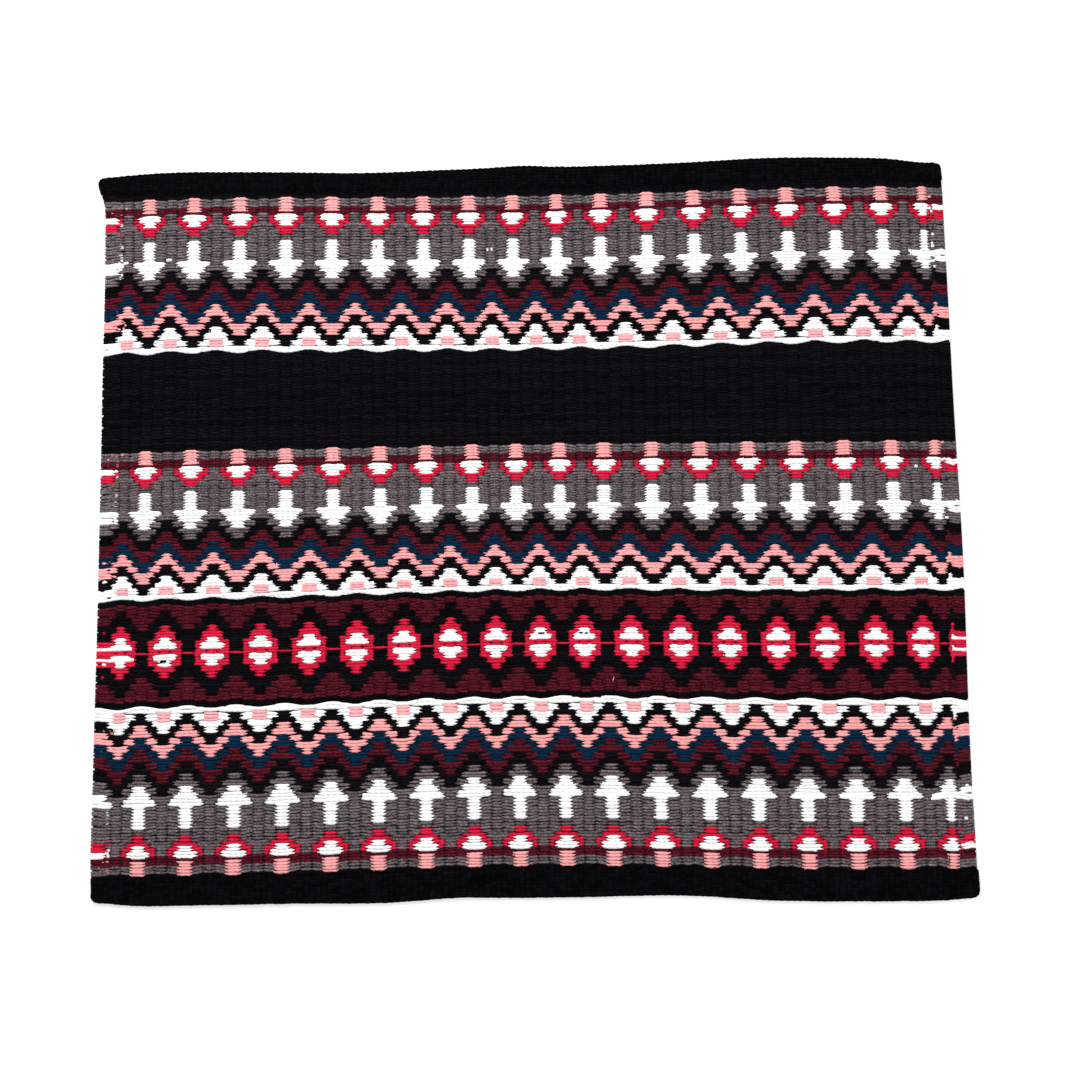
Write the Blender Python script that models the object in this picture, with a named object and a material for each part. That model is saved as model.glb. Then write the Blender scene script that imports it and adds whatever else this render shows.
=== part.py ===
"""Saddle blanket: weft-faced wool cloth on a flat warp, with turned ribbed hems and corded selvages.

The cloth lies on its back with the patterned face up: +X runs along the stripes to the right
selvage, +Y runs along the warp to the front hem, +Z goes up through the face. The origin is under
the middle of the cloth. The right half turns up and over about the crease on the centre line.
"""

import math

import bmesh
import bpy

MM = 0.001

# Cloth
CLOTH_LENGTH = 864 * MM
BODY_WIDTH = 1006 * MM
CLOTH_THICKNESS = 6 * MM
TOUCH_GAP = 0.3 * MM
CUT_OVERRUN = 5 * MM

# Warp
WARP_DIAMETER = 2.2 * MM
WARP_ROOM = 0.5 * MM
WARP_PITCH = 6.85 * MM
WARP_TURN_GAP = 4 * MM
SELVAGE_WALL = 5 * MM
SELVAGE_CORD_DIAMETER = 3 * MM

# Hems
FRONT_HEM_DEPTH = 23.5 * MM
REAR_HEM_DEPTH = 28 * MM
HEM_THICKNESS = 8.5 * MM
HEM_SIDE_REACH = 5 * MM
HEM_EDGE_RADIUS = 2.6 * MM
HEM_CORNER_RADIUS = 9 * MM
HEM_TURN_WALL = 6 * MM
STITCH_DIAMETER = 1 * MM
STITCH_LENGTH = 12 * MM
STITCH_BITE = 1.8 * MM

# Fold
FOLD_CLEARANCE = 0.15 * MM

EDGE_STEPS = 3
CORNER_STEPS = 5
CORD_STEPS = 1
SMOOTH_ANGLE = math.radians(40)

# How closely each part of the cloth is beaten: the height of its rows as a share of the mean row
BEAT_SHARES = {"header": 0.95, "front": 1.027, "saddle": 1.0, "middle": 0.964, "oval": 0.99, "rear": 1.018}

# Bands from the front hem to the rear hem: name, rows, how they are beaten, yarn
BANDS = (
    ("header_rows_front", 3, "header", "wool_black"),
    ("salmon_stripe_front", 5, "front", "wool_salmon"),
    ("cup_band_front", 9, "front", "wool_crimson"),
    ("cross_field_front", 18, "front", "wool_charcoal"),
    ("flame_band_front", 18, "front", "wool_navy"),
    ("white_line_front", 4, "front", "wool_white"),
    ("saddle_band", 33, "saddle", "wool_black"),
    ("salmon_stripe_middle", 5, "middle", "wool_salmon"),
    ("cup_band_middle", 9, "middle", "wool_crimson"),
    ("cross_field_middle", 18, "middle", "wool_charcoal"),
    ("flame_band_middle", 18, "middle", "wool_navy"),
    ("white_line_middle", 4, "middle", "wool_white"),
    ("black_line_front", 2, "oval", "wool_black"),
    ("oval_band", 33, "oval", "wool_maroon"),
    ("black_line_rear", 2, "oval", "wool_black"),
    ("white_line_rear", 4, "rear", "wool_white"),
    ("flame_band_rear", 18, "rear", "wool_navy"),
    ("cross_field_rear", 18, "rear", "wool_charcoal"),
    ("cup_band_rear", 9, "rear", "wool_crimson"),
    ("salmon_stripe_rear", 5, "rear", "wool_salmon"),
    ("header_rows_rear", 1, "header", "wool_black"),
)

# Finishes: linear colour, roughness
YARNS = {
    "wool_black": ((0.008, 0.008, 0.010), 0.92),
    "wool_charcoal": ((0.150, 0.125, 0.133), 0.92),
    "wool_white": ((0.850, 0.850, 0.830), 0.90),
    "wool_salmon": ((0.900, 0.270, 0.250), 0.90),
    "wool_crimson": ((0.640, 0.012, 0.045), 0.90),
    "wool_maroon": ((0.095, 0.010, 0.022), 0.92),
    "wool_navy": ((0.006, 0.024, 0.062), 0.92),
    "warp_cotton": ((0.520, 0.480, 0.400), 0.85),
    "hem_thread": ((0.012, 0.012, 0.014), 0.70),
}

# Places worked out from the sizes above
WOVEN_LENGTH = CLOTH_LENGTH - FRONT_HEM_DEPTH - REAR_HEM_DEPTH
MEAN_ROW = WOVEN_LENGTH / sum(rows * BEAT_SHARES[beat] for _, rows, beat, _ in BANDS)
FRONT_EDGE = CLOTH_LENGTH / 2
REAR_EDGE = -CLOTH_LENGTH / 2
HALF_BODY = BODY_WIDTH / 2
CUT_FACE = TOUCH_GAP / 2
FOLD_HEIGHT = HEM_THICKNESS + FOLD_CLEARANCE
WARP_HEIGHT = CLOTH_THICKNESS / 2
SHED_HEIGHT = WARP_DIAMETER + 2 * WARP_ROOM


def clear_scene() -> None:
    """Take the start scene's objects out."""
    for thing in list(bpy.data.objects):
        bpy.data.objects.remove(thing, do_unlink=True)


def new_collection(name: str) -> bpy.types.Collection:
    """Return a new collection that hangs under the scene's own."""
    group = bpy.data.collections.new(name)
    bpy.context.scene.collection.children.link(group)
    return group


def yarn_material(name: str) -> bpy.types.Material:
    """Return the finish of one yarn, made the first time that it is asked for."""
    if name in bpy.data.materials:
        return bpy.data.materials[name]
    colour, roughness = YARNS[name]
    material = bpy.data.materials.new(name)
    material.use_nodes = True
    shader = material.node_tree.nodes["Principled BSDF"]
    shader.inputs["Base Color"].default_value = (*colour, 1)
    shader.inputs["Roughness"].default_value = roughness
    shader.inputs["Metallic"].default_value = 0
    material.diffuse_color = (*colour, 1)
    return material


def make_object(name, data, group, yarn=None) -> bpy.types.Object:
    """Return a new object of this data in this collection, in its yarn's finish."""
    thing = bpy.data.objects.new(name, data)
    group.objects.link(thing)
    if yarn:
        data.materials.append(yarn_material(yarn))
    return thing


def hold_at_half(thing, half, place=(0, 0, 0)) -> None:
    """Parent a piece to its half's empty, with its origin at this place in the world."""
    thing.parent = half
    thing.location = [at - held for at, held in zip(place, half.location)]


def block(low, high) -> bmesh.types.BMesh:
    """Return a box between its lowest and its highest corner."""
    form = bmesh.new()
    bmesh.ops.create_cube(form, size=1)
    for corner in form.verts:
        for axis in range(3):
            middle = (low[axis] + high[axis]) / 2
            corner.co[axis] = middle + corner.co[axis] * (high[axis] - low[axis])
    return form


def round_edges(form, chosen, radius, steps) -> None:
    """Round the edges of a form whose middle point passes the test chosen."""
    edges = [e for e in form.edges if chosen((e.verts[0].co + e.verts[1].co) / 2)]
    bmesh.ops.bevel(form, geom=edges, offset=radius, offset_type="OFFSET",
                    segments=steps, profile=0.5, affect="EDGES")


def finished(form, name) -> bpy.types.Mesh:
    """Return a form as a mesh with its faces pointing out."""
    bmesh.ops.recalc_face_normals(form, faces=form.faces)
    mesh = bpy.data.meshes.new(name)
    form.to_mesh(mesh)
    form.free()
    return mesh


def side_box(side, inner, outer, y_low, y_high, z_low, z_high) -> bmesh.types.BMesh:
    """Return a box on one side of the centre line, from its inner to its outer distance from it."""
    x_low, x_high = sorted((side * inner, side * outer))
    return block((x_low, y_low, z_low), (x_high, y_high, z_high))


def make_shed_cutter(side, label, cutters) -> bpy.types.Object:
    """Return the cutter of the space that the warp takes between the picks of one half."""
    low = WARP_HEIGHT - SHED_HEIGHT / 2
    form = side_box(side, -CUT_OVERRUN, HALF_BODY - SELVAGE_WALL,
                    REAR_EDGE + HEM_TURN_WALL, FRONT_EDGE - HEM_TURN_WALL, low, low + SHED_HEIGHT)
    cutter = make_object(f"shed_{label}", finished(form, f"shed_{label}"), cutters)
    cutter.hide_render = True
    cutter.display_type = "WIRE"
    return cutter


def cut_shed(thing, cutter) -> None:
    """Open the warp's space through a piece."""
    cut = thing.modifiers.new("shed", "BOOLEAN")
    cut.operation = "DIFFERENCE"
    cut.solver = "EXACT"
    cut.object = cutter


def make_bands(side, label, half, parts, cutter) -> None:
    """Make the bands of weft of one half, each with the warp's space through it."""
    front = FRONT_EDGE - FRONT_HEM_DEPTH
    for name, rows, beat, yarn in BANDS:
        rear = front - rows * MEAN_ROW * BEAT_SHARES[beat]
        form = side_box(side, CUT_FACE, HALF_BODY, rear + TOUCH_GAP / 2, front - TOUCH_GAP / 2,
                        0, CLOTH_THICKNESS)
        band = make_object(f"{name}_{label}", finished(form, name), parts, yarn)
        cut_shed(band, cutter)
        hold_at_half(band, half)
        front = rear


def make_hem(side, label, half, parts, cutter, end) -> None:
    """Make one half of the hem that is turned over the front or the rear end of the warp."""
    facing = 1 if end == "front" else -1
    depth = FRONT_HEM_DEPTH if end == "front" else REAR_HEM_DEPTH
    outer_y = FRONT_EDGE if end == "front" else REAR_EDGE
    inner_y = outer_y - facing * (depth - TOUCH_GAP / 2)
    outer_x = HALF_BODY + HEM_SIDE_REACH
    y_low, y_high = sorted((inner_y, outer_y))
    form = side_box(side, CUT_FACE, outer_x, y_low, y_high, 0, HEM_THICKNESS)
    sliver = TOUCH_GAP / 10

    def at_corner(middle):
        """Say whether an upright edge stands at the hem's outer corner."""
        return abs(middle.y - outer_y) < sliver and abs(abs(middle.x) - outer_x) < sliver

    def along_turn(middle):
        """Say whether an edge lies along the turned end."""
        flat = min(abs(middle.z), abs(middle.z - HEM_THICKNESS)) < sliver
        return flat and abs(middle.y - outer_y) < sliver

    round_edges(form, at_corner, HEM_CORNER_RADIUS, CORNER_STEPS)
    round_edges(form, along_turn, HEM_EDGE_RADIUS, EDGE_STEPS)
    hem = make_object(f"{end}_hem_{label}", finished(form, "hem"), parts, "wool_black")
    hem.data.shade_smooth()
    hem.data.set_sharp_from_angle(angle=SMOOTH_ANGLE)
    cut_shed(hem, cutter)
    hold_at_half(hem, half)


def cord(name, points, diameter, group, yarn) -> bpy.types.Object:
    """Return a round cord along these points, with closed ends."""
    path = bpy.data.curves.new(name, "CURVE")
    path.dimensions = "3D"
    path.bevel_depth = diameter / 2
    path.bevel_resolution = CORD_STEPS
    path.use_fill_caps = True
    line = path.splines.new("POLY")
    line.points.add(len(points) - 1)
    for place, point in zip(points, line.points):
        point.co = (*place, 1)
    return make_object(name, path, group, yarn)


def make_warp(side, label, half, parts) -> None:
    """Make the warp of one half: one end laid to and fro, turned inside the hems."""
    first = WARP_PITCH / 2
    room = HALF_BODY - SELVAGE_WALL - TOUCH_GAP - WARP_DIAMETER / 2
    ends = int((room - first) / WARP_PITCH) + 1
    reach = CLOTH_LENGTH / 2 - HEM_TURN_WALL - WARP_TURN_GAP
    points = []
    for number in range(ends):
        across = side * (first + number * WARP_PITCH)
        start = reach if number % 2 else -reach
        points.append((across, start, WARP_HEIGHT))
        points.append((across, -start, WARP_HEIGHT))
    warp = cord(f"warp_ends_{label}", points, WARP_DIAMETER, parts, "warp_cotton")
    hold_at_half(warp, half)


def make_selvage_cord(side, label, half, parts) -> None:
    """Make the doubled cord that the picks turn round at one selvage."""
    across = side * (HALF_BODY + TOUCH_GAP + SELVAGE_CORD_DIAMETER / 2)
    front = FRONT_EDGE - FRONT_HEM_DEPTH - TOUCH_GAP
    rear = REAR_EDGE + REAR_HEM_DEPTH + TOUCH_GAP
    points = [(across, rear, WARP_HEIGHT), (across, front, WARP_HEIGHT)]
    selvage = cord(f"selvage_cord_{label}", points, SELVAGE_CORD_DIAMETER, parts, "wool_black")
    hold_at_half(selvage, half)


def make_stitching(side, label, half, parts, end) -> None:
    """Make the whip stitches that hold one half of a hem down, laid along its inner edge."""
    facing = 1 if end == "front" else -1
    depth = FRONT_HEM_DEPTH if end == "front" else REAR_HEM_DEPTH
    radius = STITCH_DIAMETER / 2
    at_hem = facing * (CLOTH_LENGTH / 2 - depth) - facing * (TOUCH_GAP + radius)
    height = CLOTH_THICKNESS + TOUCH_GAP + radius
    inner = CUT_FACE + STITCH_DIAMETER
    stitches = round((HALF_BODY - STITCH_DIAMETER - inner) / STITCH_LENGTH)
    points = []
    for number in range(stitches + 1):
        across = side * (inner + number * STITCH_LENGTH)
        bite = STITCH_BITE if number % 2 else 0
        points.append((across, at_hem - facing * bite, height))
    thread = cord(f"{end}_hem_stitches_{label}", points, STITCH_DIAMETER, parts, "hem_thread")
    hold_at_half(thread, half)


def make_half(side, label, parts, cutters) -> None:
    """Make every piece of one half of the cloth, held by an empty on the fold's axis."""
    half = bpy.data.objects.new(f"{label}_half", None)
    parts.objects.link(half)
    half.location = (0, 0, FOLD_HEIGHT)
    cutter = make_shed_cutter(side, label, cutters)
    make_bands(side, label, half, parts, cutter)
    make_warp(side, label, half, parts)
    make_selvage_cord(side, label, half, parts)
    for end in ("front", "rear"):
        make_hem(side, label, half, parts, cutter, end)
        make_stitching(side, label, half, parts, end)


def main() -> None:
    """Build the blanket."""
    clear_scene()
    parts = new_collection("saddle_blanket")
    cutters = new_collection("cutters")
    make_half(-1, "left", parts, cutters)
    make_half(1, "right", parts, cutters)
    print(f"cloth {CLOTH_LENGTH / MM:.1f} mm long, fold axis {FOLD_HEIGHT / MM:.2f} mm up")


main()
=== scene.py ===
"""Saddle blanket: a weft-faced wool cloth with cups, crosses, flames and ovals between two turned hems."""

import logging
import math
import random
from dataclasses import dataclass, field, replace
from enum import Enum

import bpy
import numpy as np
from bpy.types import ID, Material, Mesh, Node, NodeSocket, NodeTree, Object
from mathutils import Matrix, Vector


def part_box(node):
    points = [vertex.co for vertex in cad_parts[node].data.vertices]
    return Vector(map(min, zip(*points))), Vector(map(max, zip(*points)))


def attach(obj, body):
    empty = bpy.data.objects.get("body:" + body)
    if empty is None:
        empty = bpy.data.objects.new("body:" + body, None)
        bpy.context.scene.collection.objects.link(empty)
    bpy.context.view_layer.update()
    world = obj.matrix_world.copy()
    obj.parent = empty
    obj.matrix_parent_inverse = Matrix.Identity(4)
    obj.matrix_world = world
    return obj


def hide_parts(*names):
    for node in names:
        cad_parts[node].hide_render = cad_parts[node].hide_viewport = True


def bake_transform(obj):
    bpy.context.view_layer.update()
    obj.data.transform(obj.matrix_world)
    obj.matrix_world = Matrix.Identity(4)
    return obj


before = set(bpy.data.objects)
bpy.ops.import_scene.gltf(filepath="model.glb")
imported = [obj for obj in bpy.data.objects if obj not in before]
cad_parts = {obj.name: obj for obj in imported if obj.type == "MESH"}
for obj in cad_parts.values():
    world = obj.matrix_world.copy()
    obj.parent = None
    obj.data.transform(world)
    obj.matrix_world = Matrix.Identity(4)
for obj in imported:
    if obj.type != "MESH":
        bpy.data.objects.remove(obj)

MM = 0.001
FULL_TURN = 2 * math.pi
BODIES = ("left_half", "right_half")
MIDDLE_SHADE = 0.5

COLOUR_TOP = 255
COLOUR_TOE = 0.04045
COLOUR_TOE_SLOPE = 12.92
COLOUR_OFFSET = 0.055
COLOUR_POWER = 2.4

Pair = tuple[float, float]
Point = tuple[float, float, float]
Colour = tuple[float, float, float]

log = logging.getLogger("saddle_blanket")


class Yarn(Enum):
    """The dyed yarns of the cloth."""

    BLACK = "black"
    CHARCOAL = "charcoal"
    WHITE = "white"
    SALMON = "salmon"
    PINK = "pink"
    CRIMSON = "crimson"
    MAROON = "maroon"
    NAVY = "navy"


BRIGHT = (Yarn.WHITE, Yarn.SALMON, Yarn.CRIMSON)


class Block(Enum):
    """The groups of warp ends that rise together, in the order in which they stand in a repeat."""

    FIGURE = "figure"
    ARM = "arm"
    FLANK = "flank"
    FIELD = "field"


class Side(Enum):
    """The side of the cloth that a run of yarn shows on."""

    FACE = 1
    BACK = -1


def sides(name: str) -> list[str]:
    """The CAD nodes of a band, one for each half."""
    return [f"{name}_left", f"{name}_right"]


def linear(colour: Colour) -> tuple[float, float, float, float]:
    """Turn a colour of 0 to 255 as the eye sees it into the shader's linear one.

    Args:
        colour: Red, green and blue from 0 to 255.

    Returns:
        Linear red, green, blue, and full alpha.
    """
    parts = []
    for part in colour:
        share = part / COLOUR_TOP
        curved = ((share + COLOUR_OFFSET) / (1 + COLOUR_OFFSET)) ** COLOUR_POWER
        parts.append(share / COLOUR_TOE_SLOPE if share <= COLOUR_TOE else curved)
    return (*parts, 1.0)


def add_object(name: str, data: ID) -> Object:
    """Put a new object into the scene.

    Args:
        name: Its name.
        data: Its mesh, camera or lamp.

    Returns:
        The object.
    """
    made = bpy.data.objects.new(name, data)
    bpy.context.scene.collection.objects.link(made)
    return made


class Bench:
    """A node tree under construction, with short ways to add and join nodes."""

    mix_inputs = (0, 6, 7)
    mix_output = 2

    def __init__(self, tree: NodeTree) -> None:
        """Start on an empty tree."""
        self.tree = tree
        self.tree.nodes.clear()

    def add(self, kind: str, settings: dict | None = None, **inputs: object) -> Node:
        """Add a node, set its options, and set or join its inputs.

        Args:
            kind: The node's type name.
            settings: Options of the node itself.
            **inputs: Values or sockets by input name, with _ for a space.

        Returns:
            The new node.
        """
        node = self.tree.nodes.new(kind)
        for key, value in (settings or {}).items():
            setattr(node, key, value)
        for key, value in inputs.items():
            self.put(node.inputs[key.replace("_", " ")], value)
        return node

    def put(self, socket: NodeSocket, value: object) -> None:
        """Join a socket to another one, or give it a value.

        Args:
            socket: The socket.
            value: A value or another socket.
        """
        if isinstance(value, NodeSocket):
            self.tree.links.new(value, socket)
        else:
            socket.default_value = value

    def math(self, operation: str, *values: object) -> NodeSocket:
        """Add a Math node.

        Args:
            operation: The node's operation.
            *values: Its numbers or sockets, in order.

        Returns:
            The socket of the result.
        """
        node = self.tree.nodes.new("ShaderNodeMath")
        node.operation = operation
        for socket, value in zip(node.inputs, values):
            self.put(socket, value)
        return node.outputs[0]

    def mix(self, factor: object, first: object, second: object, blend: str = "MIX") -> NodeSocket:
        """Mix two colours.

        Args:
            factor: Share of the second, a number or socket.
            first: First colour.
            second: Second colour.
            blend: The blend type.

        Returns:
            The socket of the mixed colour.
        """
        node = self.tree.nodes.new("ShaderNodeMix")
        node.data_type = "RGBA"
        node.blend_type = blend
        for number, value in zip(self.mix_inputs, (factor, first, second)):
            self.put(node.inputs[number], value)
        return node.outputs[self.mix_output]


def start_material(name: str) -> tuple[Material, Bench]:
    """Start a material.

    Args:
        name: Its name.

    Returns:
        The material and the bench of its empty tree.
    """
    made = bpy.data.materials.new(name)
    made.use_nodes = True
    return made, Bench(made.node_tree)


@dataclass(frozen=True)
class Wool:
    """Dyed wool, spun thick and soft, with fibres a little lighter and darker than each other."""

    slot: str
    colour: Colour
    light: Colour
    dark: Colour
    uneven: float
    # how strong the painted shade is beside the yarn's crown and at its dipped tips
    hollow_shade: float
    fullness: float
    mottle: float
    fibres_per_metre: float = 260.0
    fibre_slant: float = 140.0
    fibres_around: float = 9.0
    fibre_shift: float = 37.0
    fibre_detail: float = 4.0
    fibre_contrast: Pair = (0.32, 0.68)
    dye_share: float = 0.5
    patch_scale: float = 9.0
    patch_depth: float = 0.12
    tuft_scale: float = 520.0
    tuft_gain: float = 4.0
    noise_detail: float = 2.0
    darkest: float = 0.1
    crown: float = 0.331
    crown_power: float = 2.5
    sunk_depth: float = 0.6
    deepest: float = 1.1
    twist_length: float = 7 * MM
    plies: float = 2.0
    # how much painted light and shade the twist puts into the colour
    twist_shade_depth: float = 0.035
    twist_height: float = 0.55
    fibre_height: float = 1.1
    relief: float = 0.35 * MM
    relief_strength: float = 0.8
    roughness: float = 0.95
    gloss: float = 0.04
    sheen: float = 0.008
    sheen_roughness: float = 0.45

    def material(self, name: str) -> Material:
        """Build the shader.

        Args:
            name: The colour's name.

        Returns:
            The wool material, on the yarn's own UV map and shade.
        """
        made, bench = start_material(f"wool_{name}")
        yarn = bench.add("ShaderNodeUVMap", {"uv_map": "yarn"})
        along, around, _ = bench.add("ShaderNodeSeparateXYZ", Vector=yarn.outputs[0]).outputs
        shade = self.point_value(bench, "shade")
        fibres = self.fibres(bench, along, around, shade)
        plies = bench.math("MULTIPLY", around, self.plies)
        turns = bench.math("ADD", bench.math("DIVIDE", along, self.twist_length), plies)
        twist = bench.math("SINE", bench.math("MULTIPLY", turns, FULL_TURN))
        spread = bench.add("ShaderNodeMapRange", Value=fibres)
        spread.inputs["From Min"].default_value, spread.inputs["From Max"].default_value = self.fibre_contrast
        tone = bench.mix(spread.outputs[0], linear(self.dark), linear(self.light))
        tone = bench.mix(self.dye_share, tone, linear(self.colour))
        level = self.light_level(bench, shade, twist)
        # painted shade: the colour is darker beside the yarn's crown and at its dipped tips
        level = bench.math("MULTIPLY", level, self.shadow(bench, around))
        grey = bench.add("ShaderNodeCombineColor", Red=level, Green=level, Blue=level)
        tone = bench.mix(1.0, tone, grey.outputs[0], "MULTIPLY")
        height = bench.math("MULTIPLY", fibres, self.fibre_height)
        height = bench.math("MULTIPLY_ADD", twist, self.twist_height, height)
        bump = bench.add("ShaderNodeBump", Height=height, Strength=self.relief_strength, Distance=self.relief)
        cloth = bench.add("ShaderNodeBsdfPrincipled", Base_Color=tone, Normal=bump.outputs[0])
        cloth.inputs["Roughness"].default_value = self.roughness
        cloth.inputs["Specular IOR Level"].default_value = self.gloss
        cloth.inputs["Sheen Weight"].default_value = self.sheen
        cloth.inputs["Sheen Roughness"].default_value = self.sheen_roughness
        cloth.inputs["Sheen Tint"].default_value = linear(self.light)
        bench.add("ShaderNodeOutputMaterial", Surface=cloth.outputs[0])
        return made

    def point_value(self, bench: Bench, name: str) -> NodeSocket:
        """The socket of a value that the yarn's points carry."""
        return bench.add("ShaderNodeAttribute", {"attribute_name": name}).outputs["Fac"]

    def noise(self, bench: Bench, scale: float) -> NodeSocket:
        """The socket of a noise over the cloth."""
        place = bench.add("ShaderNodeTexCoord").outputs["Object"]
        return bench.add("ShaderNodeTexNoise", Vector=place, Scale=scale, Detail=self.noise_detail).outputs[0]

    def fibres(self, bench: Bench, along: NodeSocket, around: NodeSocket, shade: NodeSocket) -> NodeSocket:
        """Draw the fibres, which wind round the yarn.

        Args:
            bench: The shader's tree.
            along: Distance along the yarn.
            around: Share of the way round it.
            shade: The run's own shade, which sets its fibres apart from the next run's.

        Returns:
            The socket of the noise.
        """
        slanted = bench.math("ADD", around, bench.math("MULTIPLY", along, self.fibre_slant))
        place = bench.add(
            "ShaderNodeCombineXYZ",
            X=bench.math("MULTIPLY", along, self.fibres_per_metre),
            Y=bench.math("MULTIPLY", slanted, self.fibres_around),
            Z=bench.math("MULTIPLY", shade, self.fibre_shift),
        )
        noise = bench.add("ShaderNodeTexNoise", Vector=place.outputs[0], Scale=1.0, Detail=self.fibre_detail)
        return noise.outputs[0]

    def light_level(self, bench: Bench, shade: NodeSocket, twist: NodeSocket) -> NodeSocket:
        """How light the yarn is, by its run, its place on the cloth and its tufts, with painted light and
        shade along its twist.

        Args:
            bench: The shader's tree.
            shade: The run's own shade.
            twist: The wave of the twist.

        Returns:
            The socket of the level, about 1.
        """
        level = bench.math("MULTIPLY_ADD", shade, self.uneven * 2, 1 - self.uneven)
        level = bench.math("SUBTRACT", level, self.patch_depth / 2)
        level = bench.math("MULTIPLY_ADD", self.noise(bench, self.patch_scale), self.patch_depth, level)
        # painted light and shade: lighter on the plies, darker in the grooves between them
        level = bench.math("MULTIPLY_ADD", twist, self.twist_shade_depth, level)
        tuft = bench.math("SUBTRACT", self.noise(bench, self.tuft_scale), 0.5)
        tuft = bench.math("MULTIPLY", tuft, self.tuft_gain * self.mottle)
        return bench.math("MAXIMUM", bench.math("ADD", level, tuft), self.darkest)

    def shadow(self, bench: Bench, around: NodeSocket) -> NodeSocket:
        """Paint shade into the yarn's colour beside its crown and where it dips, standing in for the shade
        that the rows cast on one another.

        Args:
            bench: The shader's tree.
            around: Share of the way round the yarn.

        Returns:
            The socket of the share of the light that is left.
        """
        off_crown = bench.math("ABSOLUTE", bench.math("SUBTRACT", around, self.crown))
        off_crown = bench.math("MINIMUM", bench.math("DIVIDE", off_crown, self.crown), 1.0)
        depth = bench.math("POWER", off_crown, self.crown_power)
        # painted shade where the yarn thins and dips at its tips
        swell = bench.math("MINIMUM", self.point_value(bench, "swell"), 1.0)
        depth = bench.math("MULTIPLY_ADD", bench.math("SUBTRACT", 1.0, swell), self.sunk_depth, depth)
        depth = bench.math("MINIMUM", depth, self.deepest)
        return bench.math("MULTIPLY_ADD", depth, -self.hollow_shade, 1.0)


FINISHES: dict[Yarn, Wool] = {
    Yarn.BLACK: Wool(
        "wool_black", (3, 3, 5), (29, 25, 31), (1, 1, 2),
        uneven=0.8, hollow_shade=0.65, fullness=1.1, mottle=1.2,
    ),
    Yarn.CHARCOAL: Wool(
        "wool_charcoal", (88, 78, 82), (168, 152, 157), (22, 18, 21),
        uneven=0.28, hollow_shade=0.75, fullness=1.0, mottle=0.75,
    ),
    Yarn.WHITE: Wool(
        "wool_white", (250, 250, 250), (254, 254, 254), (242, 241, 243),
        uneven=0.01, hollow_shade=0.0, fullness=1.3, mottle=0.0,
    ),
    Yarn.SALMON: Wool(
        "wool_salmon", (252, 166, 167), (255, 192, 192), (240, 134, 134),
        uneven=0.05, hollow_shade=0.2, fullness=1.1, mottle=0.04,
    ),
    Yarn.PINK: Wool(
        "wool_salmon", (250, 172, 177), (255, 196, 198), (242, 150, 156),
        uneven=0.05, hollow_shade=0.2, fullness=1.3, mottle=0.04,
    ),
    Yarn.CRIMSON: Wool(
        "wool_crimson", (216, 24, 60), (236, 50, 84), (184, 8, 38),
        uneven=0.12, hollow_shade=0.3, fullness=1.12, mottle=0.16,
    ),
    Yarn.MAROON: Wool(
        "wool_maroon", (74, 15, 27), (120, 38, 53), (36, 4, 10),
        uneven=0.28, hollow_shade=0.5, fullness=1.05, mottle=0.75,
    ),
    Yarn.NAVY: Wool(
        "wool_navy", (5, 34, 59), (22, 58, 87), (1, 16, 36),
        uneven=0.22, hollow_shade=0.4, fullness=1.08, mottle=0.35,
    ),
}


@dataclass(frozen=True)
class Push:
    """A place where the cloth lies a little off square, fading out round it."""

    at: Pair
    by: Pair
    reach: Pair


@dataclass(frozen=True)
class Bow:
    """How far the rows at one height lie off level, in millimetres, at the left, the middle and the right."""

    y: float
    left: float
    middle: float
    right: float


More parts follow.
